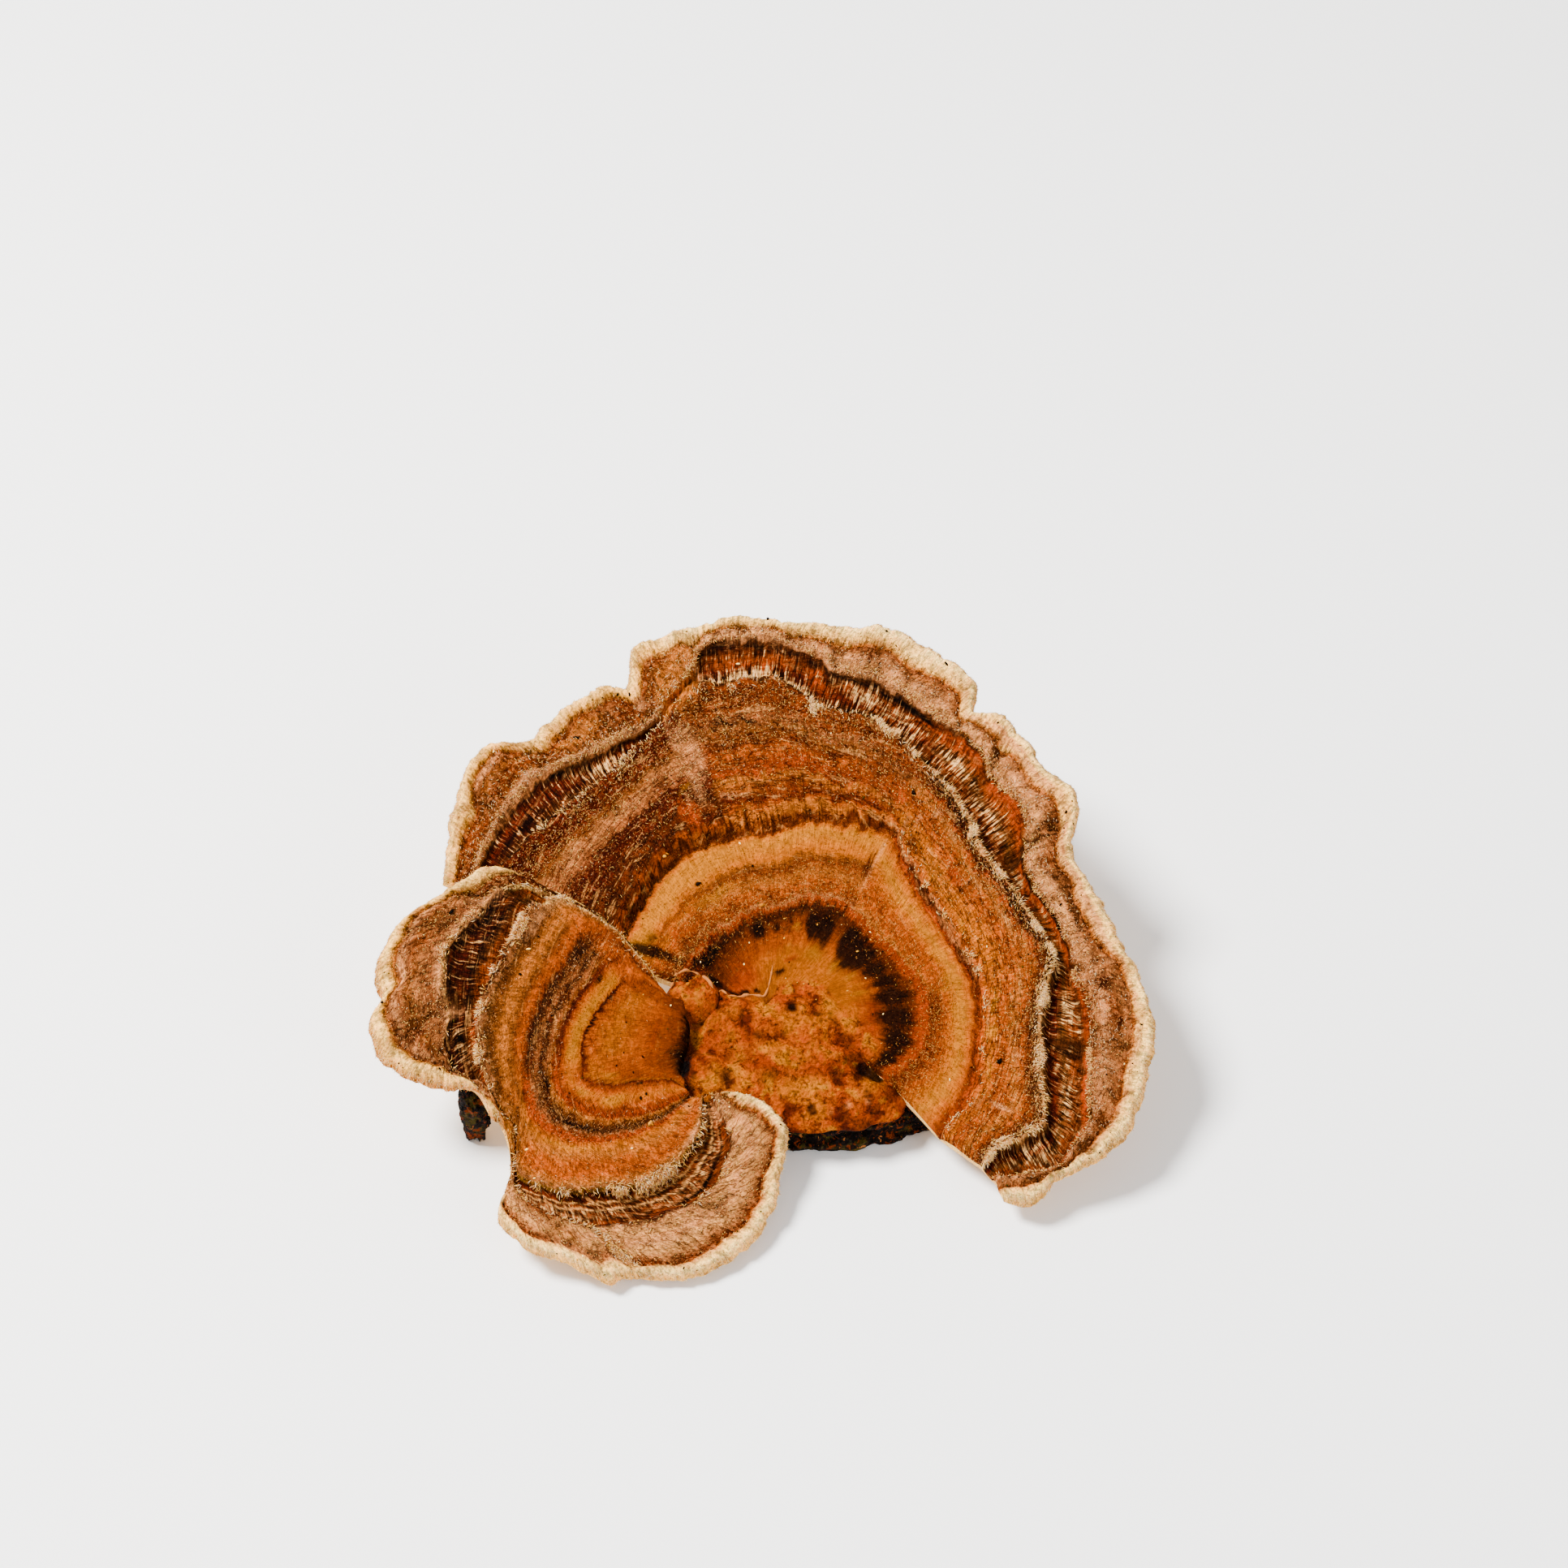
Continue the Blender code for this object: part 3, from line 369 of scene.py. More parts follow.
BANDS_SIDE_BOTTOM = [
    (0.04, "soot"), (0.1, "brown"), (0.2, "rust"), (0.45, "orange"), (0.75, "orange"), (0.92, "amber"),
    (0.98, "rust"), (1.02, "ox red"), (1.1, "rust"), (1.25, "orange"), (1.5, "amber"), (1.75, "orange"),
    (1.9, "rust"), (1.98, "red orange"), (2.08, "vermilion"), (2.18, "apricot"), (2.28, "velvet"),
    (2.4, "brown"), (2.55, "brown"), (2.66, "pink brown"), (2.74, "red orange"), (2.88, "vermilion"),
    (2.98, "orange"), (3.1, "amber"), (3.25, "apricot"), (3.45, "orange"), (3.7, "orange"),
    (3.85, "apricot"), (3.96, "tan"), (4.02, "ochre"),
]
BANDS_SIDE_BOTTOM_OUTER = [
    (4.0, "ochre"), (4.05, "maroon"), (4.1, "ox red"), (4.17, "rust"), (4.22, "pale tan"), (4.27, "brown"),
    (4.36, "red brown"), (4.44, "pale tan"), (4.49, "dark brown"), (4.6, "rust"), (4.68, "tan"),
    (4.74, "dark brown"), (4.84, "rust"), (4.94, "ox red"), (5.02, "dark brown"), (5.1, "pink"),
    (5.3, "pale tan"), (5.5, "pink"), (5.7, "pale tan"), (5.9, "tan"), (5.97, "red brown"), (6.05, "rust"),
    (6.12, "apricot"), (6.3, "pale tan"), (6.5, "cream"), (6.8, "milk"), (6.96, "honey"),
]
BANDS_SIDE_LEFT = [
    (0.04, "soot"), (0.1, "rust"), (0.45, "orange"), (0.75, "amber"), (0.92, "orange"), (0.98, "maroon"),
    (1.04, "ox red"), (1.1, "amber"), (1.3, "gold"), (1.6, "amber"), (1.75, "orange"), (1.88, "ox red"),
    (2.05, "red brown"), (2.14, "velvet"), (2.26, "pink brown"), (2.36, "brown"), (2.48, "dark brown"),
    (2.58, "pink brown"), (2.7, "brown"), (2.9, "dark brown"), (3.0, "rust"), (3.1, "orange"),
    (3.3, "velvet"), (3.5, "apricot"), (3.7, "velvet"), (3.84, "umber"), (3.92, "tan"), (4.02, "soot"),
]
BANDS_SIDE_LEFT_OUTER = [
    (3.92, "tan"), (4.0, "soot"), (4.08, "ox red"), (4.2, "rust"), (4.36, "brown"), (4.5, "black"),
    (4.7, "maroon"), (4.9, "soot"), (5.02, "dark brown"), (5.07, "pale tan"), (5.14, "pink"),
    (5.3, "pink brown"), (5.5, "tan"), (5.65, "velvet"), (5.8, "pink brown"), (5.9, "pink"),
    (5.98, "red brown"), (6.06, "apricot"), (6.25, "butter"), (6.5, "cream"), (6.8, "honey"),
    (6.96, "apricot"),
]
BANDS_SIDE_TOP = [
    (0.3, "rust"), (0.8, "orange"), (1.1, "rust"), (1.4, "orange"), (1.9, "rust"), (2.3, "orange"),
    (2.8, "rust"), (3.2, "orange"), (3.7, "apricot"), (3.9, "pale tan"), (3.97, "cream"),
    (4.04, "dark brown"), (4.12, "orange"), (4.9, "orange"), (5.0, "cream"), (5.1, "red brown"),
    (5.5, "maroon"), (6.0, "red brown"), (6.2, "honey"), (6.7, "cream"),
]

# Spots laid over the bands: (place across, growth, half-width across, half-width in growth, strength)
MAIN_MARKS = {
    # dark: the ring near growth 0.7 is the fungus's own black; the spots at bearings 155 to 164 are painted
    # shadow
    # where the second fan's edge and the hub's lips overhang, and so are the thin lines near growth 3.87 to
    # 3.97
    "dark": [
        (80, 0.66, 6, 0.22, 1), (70, 0.62, 6.5, 0.26, 1), (53, 0.68, 6, 0.27, 1), (44, 0.62, 8, 0.32, 1),
        (35, 0.66, 6, 0.26, 1), (24, 0.66, 6, 0.2, 0.95), (14, 0.66, 5, 0.2, 0.9), (4, 0.64, 6, 0.24, 1),
        (-8, 0.66, 7, 0.24, 1), (-20, 0.72, 7, 0.18, 1), (-32, 0.8, 8, 0.12, 1), (118, 0.76, 6, 0.14, 1),
        (106, 0.74, 4, 0.1, 0.7), (95, 0.76, 4, 0.08, 0.6), (150, 0.87, 12, 0.07, 0.9),
        (160, 1.5, 2.6, 0.5, 1), (155, 1.62, 3, 0.12, 0.6), (161, 0.66, 3, 0.12, 1), (164, 0.44, 3, 0.1, 1),
        (160, 0.3, 3.4, 0.07, 1), (156, 0.17, 4, 0.05, 1), (117, 0.12, 12, 0.06, 0.8),
        (107, 2.74, 4, 0.03, 0.9), (101, 2.74, 3, 0.03, 0.8), (31, 2.55, 1.2, 0.3, 0.5),
        (29.5, 4.2, 1.6, 1, 0.9), (-18.5, 2.37, 0.8, 0.06, 1), (19, 2.76, 0.8, 0.04, 0.8),
        (58.5, 2.63, 0.6, 0.03, 1), (131, 1.57, 1.3, 0.03, 1), (109, 1.54, 0.7, 0.025, 1),
        (142, 1.46, 1, 0.03, 0.6), (150, 3.5, 8, 0.14, 0.7), (139, 3.9, 3, 0.06, 0.8),
        (83, 3.9, 4, 0.05, 0.8), (68, 3.87, 10, 0.04, 1), (14, 3.97, 13, 0.045, 1),
        (-11.5, 3.55, 1.6, 0.4, 0.9), (5, 3.5, 1, 0.4, 0.6), (34, 3.4, 2, 0.3, 0.6),
        (-32, 3.45, 5, 0.08, 0.7), (49, 3.6, 0.8, 0.2, 0.8), (132.7, 4.52, 0.5, 0.12, 1),
        (16, 4.4, 0.5, 0.06, 1), (100, 5.0, 0.4, 0.3, 0.6),
    ],
    "maroon": [
        (122, 3.5, 2.6, 0.5, 1), (150, 3.4, 8, 0.3, 0.5), (89, 3.3, 4, 0.4, 0.7), (20, 3.6, 6, 0.3, 0.6),
        (-7, 3.25, 6, 0.1, 0.9), (-26, 3.25, 5, 0.1, 0.8), (40, 3.28, 10, 0.06, 0.8),
        (40, 3.68, 8, 0.05, 0.6), (-1, 4.5, 2, 0.3, 0.8), (-7, 4.7, 2, 0.14, 0.7), (-27, 4.6, 1.6, 0.7, 0.6),
        (-36, 4.6, 1.2, 0.7, 0.5), (140, 2.48, 14, 0.03, 0.9), (128, 2.46, 6, 0.03, 0.9),
        (52, 2.22, 3, 0.1, 0.6), (62, 1.5, 2.4, 0.3, 0.6), (77, 4.5, 1, 0.5, 0.7), (-40, 4.4, 1.6, 0.5, 0.5),
        (40, 2.04, 12, 0.03, 0.8), (10, 2.0, 14, 0.025, 0.8), (-25, 2.02, 12, 0.025, 0.6),
        (92, 4.5, 0.7, 0.6, 0.7), (104, 4.6, 0.7, 0.5, 0.6), (69, 2.6, 2, 0.3, 0.4),
    ],
    "rust": [
        (70, 2.5, 6, 0.3, 0.7), (156, 4.7, 3, 0.4, 0.9), (148, 4.35, 2, 0.3, 0.6), (123, 4.6, 2, 0.6, 0.9),
        (-6, 4.6, 4, 0.25, 0.8), (-13, 4.2, 1.6, 0.2, 0.7), (-23, 4.6, 2, 0.5, 0.7), (86, 4.7, 1, 0.5, 0.8),
        (25, 4.6, 1.4, 0.5, 0.7), (100, 3.65, 8, 0.2, 0.8), (64, 1.25, 3, 0.3, 0.5),
        (50, 2.75, 8, 0.08, 0.5), (140, 1.3, 8, 0.08, 0.5), (-32, 2.2, 7, 0.12, 0.6),
        (15, 3.6, 10, 0.25, 0.5), (72, 3.4, 4, 0.15, 0.5), (44, 3.82, 12, 0.06, 0.7),
    ],
    "brown": [
        (15, 4.75, 6, 0.3, 0.9), (48.5, 4.6, 0.8, 0.5, 0.9), (99, 4.6, 0.8, 0.5, 0.7),
        (95, 4.6, 0.6, 0.5, 0.6), (82, 4.7, 1, 0.4, 0.7), (57.5, 4.4, 0.7, 0.5, 0.6),
        (-29, 4.3, 1, 0.6, 0.7), (-33, 4.4, 0.8, 0.6, 0.7), (-38, 4.5, 0.8, 0.6, 0.7),
        (100, 1.34, 8, 0.1, 0.4), (98, 0.66, 10, 0.1, 0.5), (140, 4.75, 1, 0.4, 0.5),
    ],
    "apricot": [
        (113, 3.4, 4.2, 0.5, 1), (111, 4.4, 3.4, 0.6, 1), (132, 4.65, 5.5, 0.36, 0.9),
        (116, 4.1, 2, 0.5, 0.9), (42, 2.3, 8, 0.2, 0.5), (150, 5.1, 10, 0.06, 0.7), (66, 4.7, 5, 0.2, 0.4),
        (88, 2.07, 16, 0.03, 0.9),
    ],
    "red": [
        (148, 0.36, 12, 0.1, 0.7), (160, 0.86, 4, 0.07, 0.9), (126, 0.98, 8, 0.045, 1),
        (122.5, 2.2, 3, 0.12, 1), (150, 1.38, 6, 0.1, 0.5), (98, 3.55, 6, 0.16, 0.6),
        (86, 3.6, 3, 0.25, 0.6), (-20, 0.34, 14, 0.05, 0.5), (86, 2.42, 12, 0.07, 0.7),
        (100, 0.22, 9, 0.05, 0.8), (62, 2.45, 4, 0.25, 0.6), (36, 2.5, 5, 0.14, 0.7),
        (60, 3.82, 10, 0.06, 0.6), (40, 3.95, 7, 0.07, 0.9), (-20, 3.97, 8, 0.1, 0.9),
        (-33, 1.95, 9, 0.09, 0.5), (22, 3.55, 3, 0.2, 0.5), (-38, 2.35, 5, 0.2, 0.5),
        (86, 4.6, 0.8, 0.5, 0.5), (30, 1.0, 32, 0.05, 1), (-10, 0.98, 32, 0.05, 1),
        (98, 2.35, 10, 0.06, 0.5), (112, 2.6, 3, 0.1, 0.5),
    ],
    "gold": [
        (75, 0.3, 12, 0.12, 0.7), (50, 0.3, 5, 0.14, 0.7), (30, 0.36, 4, 0.12, 0.6), (12, 0.3, 4, 0.12, 0.5),
        (100, 0.4, 5, 0.1, 0.5), (130, 1.72, 22, 0.13, 0.9), (128, 1.38, 12, 0.07, 0.7),
        (88, 1.8, 14, 0.09, 0.5), (92, 0.66, 5, 0.06, 0.6), (53, 1.72, 4, 0.12, 0.5), (-5, 1.6, 4, 0.16, 1),
        (6, 1.6, 2.4, 0.2, 0.9), (17, 1.6, 4, 0.14, 0.7), (3, 1.4, 1.6, 0.18, 0.6),
        (-13, 1.66, 3, 0.12, 0.7), (-11, 2.22, 2, 0.12, 0.9), (-3, 2.22, 3, 0.07, 0.7),
        (22, 2.18, 3, 0.05, 0.7), (40, 2.22, 3, 0.1, 0.4), (22, 0.68, 3, 0.06, 0.8),
        (-21, 2.2, 3, 0.06, 0.6), (58, 2.2, 1.6, 0.1, 0.4), (110, 1.04, 2.4, 0.02, 1),
        (120, 2.42, 3, 0.03, 0.6), (155, 5.3, 4, 0.1, 0.5), (128, 5.3, 6, 0.1, 0.4),
    ],
    "pale": [
        (117.5, 2.4, 1.8, 0.2, 0.6), (114.5, 2.6, 2, 0.2, 0.6), (117, 2.8, 2.4, 0.12, 0.6),
        (121, 2.3, 1.4, 0.1, 0.4), (110, 2.2, 4, 0.02, 0.7), (-28.6, 2.45, 0.7, 0.16, 0.9),
        (-16, 2.6, 1.2, 0.12, 0.5), (40, 4.6, 6, 0.5, 0.9), (73, 4.5, 2.4, 0.4, 0.8), (64, 4.4, 4, 0.3, 0.6),
        (145, 4.12, 5, 0.08, 0.8), (-14.5, 4.5, 1.4, 0.5, 0.9), (26, 4.25, 3, 0.14, 0.6),
        (56.6, 2.24, 1, 0.12, 0.55), (54, 2.46, 1, 0.12, 0.55), (51, 2.72, 1.2, 0.1, 0.6),
        (60, 1.72, 1, 0.2, 0.6), (60.2, 1.35, 0.8, 0.25, 0.4), (112, 1.5, 4, 0.012, 0.6),
        (20, 4.2, 8, 0.14, 0.6), (3, 4.7, 1, 0.5, 0.7), (53, 4.5, 2.4, 0.4, 0.5),
        (160.5, 2.4, 0.9, 0.5, 0.8), (118, 3.6, 0.6, 0.7, 0.8), (108.6, 3.6, 0.5, 0.5, 0.8),
        (146, 4.95, 4, 0.12, 0.9), (120, 4.9, 1, 0.5, 0.9), (97, 4.5, 0.8, 0.5, 0.8),
        (102, 4.4, 1.2, 0.5, 0.7), (94, 4.5, 0.7, 0.6, 0.7), (81, 4.4, 1.2, 0.3, 0.8),
        (50.5, 4.6, 0.8, 0.4, 0.6), (-26, 4.5, 0.6, 0.6, 0.6), (-31, 4.4, 0.6, 0.6, 0.7),
        (-35, 4.5, 0.7, 0.6, 0.6), (-18, 4.5, 1.6, 0.4, 0.6), (-3, 5.0, 3, 0.08, 0.6),
    ],
    "straw": [
        (132, 3.6, 5, 0.26, 1), (104, 3.2, 7, 0.26, 1), (95, 3.2, 6, 0.26, 1), (86, 3.16, 5, 0.2, 0.8),
        (76, 3.6, 4, 0.24, 0.8), (68, 3.5, 4, 0.3, 0.8), (55, 3.58, 4, 0.18, 1), (42, 3.5, 6, 0.18, 0.9),
        (16, 3.16, 11, 0.14, 1), (6, 3.25, 5, 0.16, 0.8), (-4, 3.62, 4, 0.2, 0.9), (-20, 3.6, 5, 0.16, 0.9),
        (-33, 3.5, 5, 0.2, 0.7), (150, 3.14, 10, 0.14, 0.7), (106, 2.83, 6, 0.05, 0.9),
        (112, 3.2, 2, 0.2, 0.3), (66, 3.2, 6, 0.12, 0.6), (-33, 3.25, 5, 0.1, 0.6),
        (47, 3.14, 10, 0.08, 0.7), (25, 3.6, 2, 0.25, 0.7),
    ],
}
SIDE_MARKS = {
    "dark": [
        (14, 1.22, 4, 0.04, 0.8), (19, 1.1, 2, 0.04, 0.9), (18, 1.66, 1.2, 0.05, 0.8),
        (15.5, 1.5, 0.6, 0.03, 0.9), (74, 1.75, 3.4, 0.14, 0.8), (76, 2.7, 4, 0.18, 0.7),
        (15, 4.07, 20, 0.03, 1), (64, 3.97, 5, 0.05, 0.8), (57, 4.55, 2.4, 0.25, 0.8),
        (74, 4.8, 4, 0.2, 0.6), (12, 4.78, 7, 0.05, 0.9), (31, 2.5, 6, 0.09, 0.9), (44, 2.3, 4, 0.14, 0.8),
        (55, 2.9, 3, 0.08, 0.5), (68, 2.55, 4, 0.05, 0.6), (55.5, 5.6, 1.6, 0.5, 0.8),
        (90, 3.6, 3, 0.3, 0.5), (93, 5.5, 4, 1.2, 0.9), (61, 1.0, 8, 0.02, 0.9), (73, 1.02, 6, 0.03, 0.9),
        (72, 3.7, 1.4, 0.05, 0.6), (66.5, 3.6, 0.4, 0.03, 1), (74, 5.45, 0.8, 0.1, 0.8),
    ],
    "maroon": [
        (65, 2.0, 12, 0.1, 0.9), (10, 4.62, 9, 0.07, 0.6), (20, 5.05, 12, 0.06, 0.7), (33, 4.8, 5, 0.2, 0.5),
        (68, 4.7, 8, 0.25, 0.6), (52, 2.5, 5, 0.1, 0.6), (25, 1.03, 9, 0.03, 0.9), (60, 2.75, 14, 0.04, 0.5),
        (62, 5.7, 0.8, 0.3, 0.8), (86, 6, 3, 1, 0.7),
    ],
    "rust": [
        (35, 5.0, 5, 0.5, 0.8), (30, 1.15, 8, 0.1, 0.8), (66, 4.25, 8, 0.12, 0.7), (10, 4.95, 8, 0.08, 0.8),
        (70, 5.6, 3, 0.3, 0.6), (8, 1.5, 4, 0.3, 0.4), (44, 1.6, 2, 0.4, 0.5), (12, 6.15, 8, 0.05, 0.6),
    ],
    "brown": [(20, 6.05, 10, 0.05, 0.5), (26, 5.5, 2, 0.3, 0.3), (47, 3.3, 3, 0.2, 0.5)],
    "apricot": [
        (43, 4.4, 4, 1, 1), (47, 5.8, 3.4, 1.4, 1), (41, 3.6, 3, 0.4, 0.7), (33, 5.6, 3, 0.4, 0.5),
        (85, 4.5, 6, 0.4, 0.7), (12, 3.5, 10, 0.2, 0.4), (60, 3.4, 10, 0.2, 0.3),
    ],
    "red": [
        (30, 1.24, 8, 0.08, 0.7), (24, 2.88, 20, 0.09, 0.9), (42, 2.85, 3, 0.16, 0.8),
        (12, 2.08, 8, 0.05, 0.7), (58, 4.12, 5, 0.07, 0.8), (58, 0.35, 20, 0.05, 0.6), (8, 4.2, 4, 0.1, 0.6),
    ],
    "gold": [
        (26, 1.6, 4, 0.22, 1), (36, 1.5, 3, 0.2, 0.7), (60, 1.35, 9, 0.2, 1), (50, 1.5, 3, 0.16, 0.8),
        (43, 4.5, 2, 0.6, 0.6), (47, 5.8, 1.4, 0.8, 0.6), (30, 3.14, 8, 0.06, 0.7), (13, 2.67, 0.8, 0.12, 1),
        (38, 0.8, 4, 0.1, 0.6), (74, 6.4, 4, 0.2, 0.6),
    ],
    "pale": [
        (8, 3.9, 3, 0.1, 1), (17, 3.95, 2.4, 0.08, 0.8), (17.5, 5.3, 0.8, 0.14, 0.8),
        (28.5, 5.7, 0.8, 0.35, 0.9), (33, 6.1, 5, 0.4, 0.6), (59, 3.98, 4, 0.08, 0.8),
        (75, 3.8, 3.6, 0.1, 0.9), (61.6, 4.95, 1.2, 0.25, 0.9), (77, 5.3, 1.6, 0.4, 0.8),
        (3, 5, 1.4, 1.2, 0.8), (4, 3, 0.8, 0.5, 0.7), (84, 4.98, 4, 0.06, 0.9), (84, 3.93, 4, 0.05, 0.9),
        (43, 6.4, 0.8, 0.8, 0.8), (52.8, 5.6, 0.7, 0.8, 0.7), (57, 6.5, 2, 0.3, 0.5),
        (72.5, 5.05, 1.4, 0.05, 0.8), (22, 5.3, 1.6, 0.06, 0.5),
    ],
    "straw": [
        (33, 4.6, 5, 0.25, 0.7), (12, 4.58, 6, 0.05, 0.8), (24, 4.5, 6, 0.06, 0.6),
        (56, 4.5, 2.4, 0.25, 0.7), (70, 4.6, 4, 0.1, 0.4),
    ],
}
# Spots on the hub, seen from above: (x, y, radius, strength)
HUB_MARKS = {
    "rust": [
        (-7, -6.8, 2, 0.6), (11.5, -11.5, 2.6, 0.5), (-13, -1, 2.4, 0.6), (6.4, -4.4, 1.6, 0.5),
    ],
    "brown": [
        (-16.5, -4.9, 2.6, 0.8), (-9.8, -9.4, 1.5, 0.7), (-5.6, -4.4, 1.3, 0.6), (1.7, -13.8, 0.8, 0.9),
        (-15, 4, 1.4, 0.6), (-11.4, -12.4, 1.6, 0.6),
    ],
    "apricot": [(8.6, -12, 1.4, 0.5), (-8.6, 0.4, 1.2, 0.4)],
    # dark: painted shadow in the hub's pits, under its pale lips and in the gap beside the second fan
    "dark": [
        (-0.9, -0.3, 0.9, 0.9), (-9.4, -6.4, 1.1, 0.5), (-15.6, -7.6, 1.5, 0.9), (8.7, -7.9, 1.4, 1),
        (10.6, -8.8, 1.2, 0.9), (-12.2, 5, 1.6, 0.9), (-7, 3, 1, 0.8), (-5.4, 2.8, 0.8, 0.8),
        (13.4, -11, 1.6, 0.5),
    ],
    "maroon": [
        (-5, -5.6, 0.9, 0.5), (5, -2.6, 1.2, 0.5), (-11.6, -6, 1.2, 0.7), (-16, -2, 1.4, 0.6),
    ],
    "red": [
        (2.4, -8.7, 1.9, 0.8), (-4.7, -8.5, 1.5, 0.7), (-10.1, -3.5, 3, 0.6), (-0.8, -7.4, 1, 0.6),
        (-12.7, -8.8, 1.4, 0.6), (-12, 0.6, 1.6, 0.5), (6.4, -1, 1.2, 0.5),
    ],
    "gold": [
        (4.8, -0.4, 2.2, 0.5), (-1.4, -3.5, 1.3, 0.5), (2.2, -2.5, 1.6, 0.4), (-4.5, -10.4, 1.8, 0.4),
        (-1, -11, 2, 0.4), (1.8, -6, 1.4, 0.4), (-8.5, -1, 1.6, 0.4), (5.4, 2.4, 2, 0.4),
        (-14, -10, 1.2, 0.4),
    ],
    "pale": [(4.2, -14, 0.6, 0.5), (6.6, -13.6, 0.7, 0.6), (9.2, -13, 0.6, 0.6)],
    "green": [(3.3, -11.4, 1.4, 0.35), (5.4, -7.4, 1.2, 0.4), (5, -9.6, 1.3, 0.3)],
}
# How a mark looks: its ink, the noise that breaks it up, by how much, how soft it stays and how strong it is
MARK_LOOKS = {
    "apricot": ("apricot", "Strand", 0.6, 0.26, 0.9),
    "rust": ("rust", "Fleck", 0.9, 0.34, 0.9),
    "brown": ("brown", "Strand", 1.1, 0.24, 0.9),
    "maroon": ("maroon", "Strand", 0.9, 0.2, 0.95),
    "red": ("red orange", "Fleck", 1.0, 0.3, 0.9),
    "gold": ("gold", "Strand", 0.8, 0.34, 0.9),
    "green": ("ochre", "Fleck", 0.9, 0.22, 0.95),
    "pale": ("pink", "Lying", 1.3, 0.34, 0.55),
    # dark: partly the fungus's own black, partly painted shadow
    "dark": ("black", "Fleck", 0.8, 0.3, 0.96),
}
MARKS = (*MARK_LOOKS, "straw")  # straw marks only favour the bars of old fibre

# How much fine hair shows, how wet the face is, how barred by old fibres and how layered: (growth, share)
MAIN_VELVET = [
    (0, 0.1), (0.85, 0.3), (1.05, 0.8), (1.35, 0.7), (1.55, 0.25), (1.85, 0.15), (2.05, 0.4), (2.3, 0.7),
    (2.85, 1), (3.05, 0.3), (3.3, 0), (3.9, 0.1), (4.06, 0.9), (4.35, 0.6), (4.9, 0.35), (5.2, 0.1), (6, 0),
]
SIDE_VELVET = [
    (0, 0.1), (0.95, 0.3), (1.2, 0.25), (1.8, 0.2), (2.1, 0.5), (2.5, 1), (2.85, 0.6), (3.1, 0.3),
    (3.6, 0.6), (3.95, 1), (4.15, 0.1), (4.9, 0.1), (5.1, 0.9), (5.8, 0.8), (6.1, 0.15), (7, 0),
]
MAIN_WET = [
    (0, 0.9), (0.9, 0.5), (1, 0.75), (1.2, 0.4), (1.55, 0.9), (1.9, 0.8), (2.05, 0.35), (2.6, 0.25),
    (3, 0.05), (6, 0.1),
]
SIDE_WET = [
    (0, 0.9), (1, 0.6), (1.4, 0.9), (1.9, 0.7), (2.2, 0.2), (2.9, 0.5), (3.3, 0.4), (4, 0.1), (7, 0.1),
]
MAIN_BARRED = [(3.02, 0), (3.1, 1), (3.8, 1), (3.9, 0)]
SIDE_BARRED = [(4.12, 0), (4.22, 0.7), (4.85, 0.7), (5, 0)]
MAIN_LAYERED = [
    (0, 0.15), (0.9, 0.2), (1.1, 0.6), (1.5, 0.4), (1.6, 0.15), (1.95, 0.15), (2.05, 0.9), (2.9, 1),
    (3.1, 0.2), (3.9, 0.3), (4.1, 0.25), (5, 0.3), (5.2, 0.1), (6, 0.05),
]
SIDE_LAYERED = [
    (0, 0.2), (1, 0.3), (1.5, 0.15), (1.9, 0.5), (2.1, 0.8), (2.9, 0.8), (3.1, 0.3), (3.9, 0.4), (4.1, 0.9),
    (5, 0.9), (5.2, 0.3), (6, 0.3), (6.2, 0.1), (7, 0.05),
]


# ---- curves, ripples and heights
def line_places(points, shares):
    """Places at the given shares of the length of the smooth curve through the points."""
    points = np.array(points, float)
    padded = np.vstack([2 * points[0] - points[1], points, 2 * points[-1] - points[-2]])
    t = np.linspace(0, 1, CURVE_STEPS, endpoint=False)[:, None]
    pieces = []
    for a, b, c, d in zip(padded, padded[1:], padded[2:], padded[3:]):
        slope = (c - a) * t
        bend = (2 * a - 5 * b + 4 * c - d) * t**2
        twist = (3 * b - a - 3 * c + d) * t**3
        pieces.append(0.5 * (2 * b + slope + bend + twist))
    curve = np.vstack([*pieces, points[-1:]])
    run = lengths(curve)
    return np.column_stack([np.interp(shares * run[-1], run, values) for values in curve.T])


def lengths(places):
    """Distances run along a line of places."""
    return np.concatenate([[0], np.cumsum(np.linalg.norm(np.diff(places, axis=0), axis=1))])


def from_bearings(line):
    return [(reach * math.cos(math.radians(b)), reach * math.sin(math.radians(b))) for b, reach in line]


def eased(pairs, at):
    """Values between (place, value) pairs, with no corner at the pairs."""
    places, values = np.array(pairs, float).T
    i = np.clip(np.searchsorted(places, at, side="right") - 1, 0, len(places) - 2)
    t = np.clip((at - places[i]) / (places[i + 1] - places[i]), 0, 1)
    return values[i] + (values[i + 1] - values[i]) * t * t * (3 - 2 * t)


def smooth_step(low, high, value):
    t = np.clip((value - low) / (high - low), 0, 1)
    return t * t * (3 - 2 * t)


def near(value, middle, half_width):
    """1 at the middle, falling away to both sides."""
    return np.exp(-(((value - middle) / half_width) ** 2))


def ripples(u, v, seed):
    """Smooth random heights from -1 to 1, in cells of unit size."""
    size = 128
    table = np.random.default_rng(seed).uniform(-1, 1, (size, size))
    i, j = np.floor(u).astype(int), np.floor(v).astype(int)
    s, t = u - i, v - j
    s, t = s * s * (3 - 2 * s), t * t * (3 - 2 * t)
    i, j = i % size, j % size
    k, m = (i + 1) % size, (j + 1) % size
    near_side = table[i, j] * (1 - s) + table[k, j] * s
    far_side = table[i, m] * (1 - s) + table[k, m] * s
    return near_side * (1 - t) + far_side * t


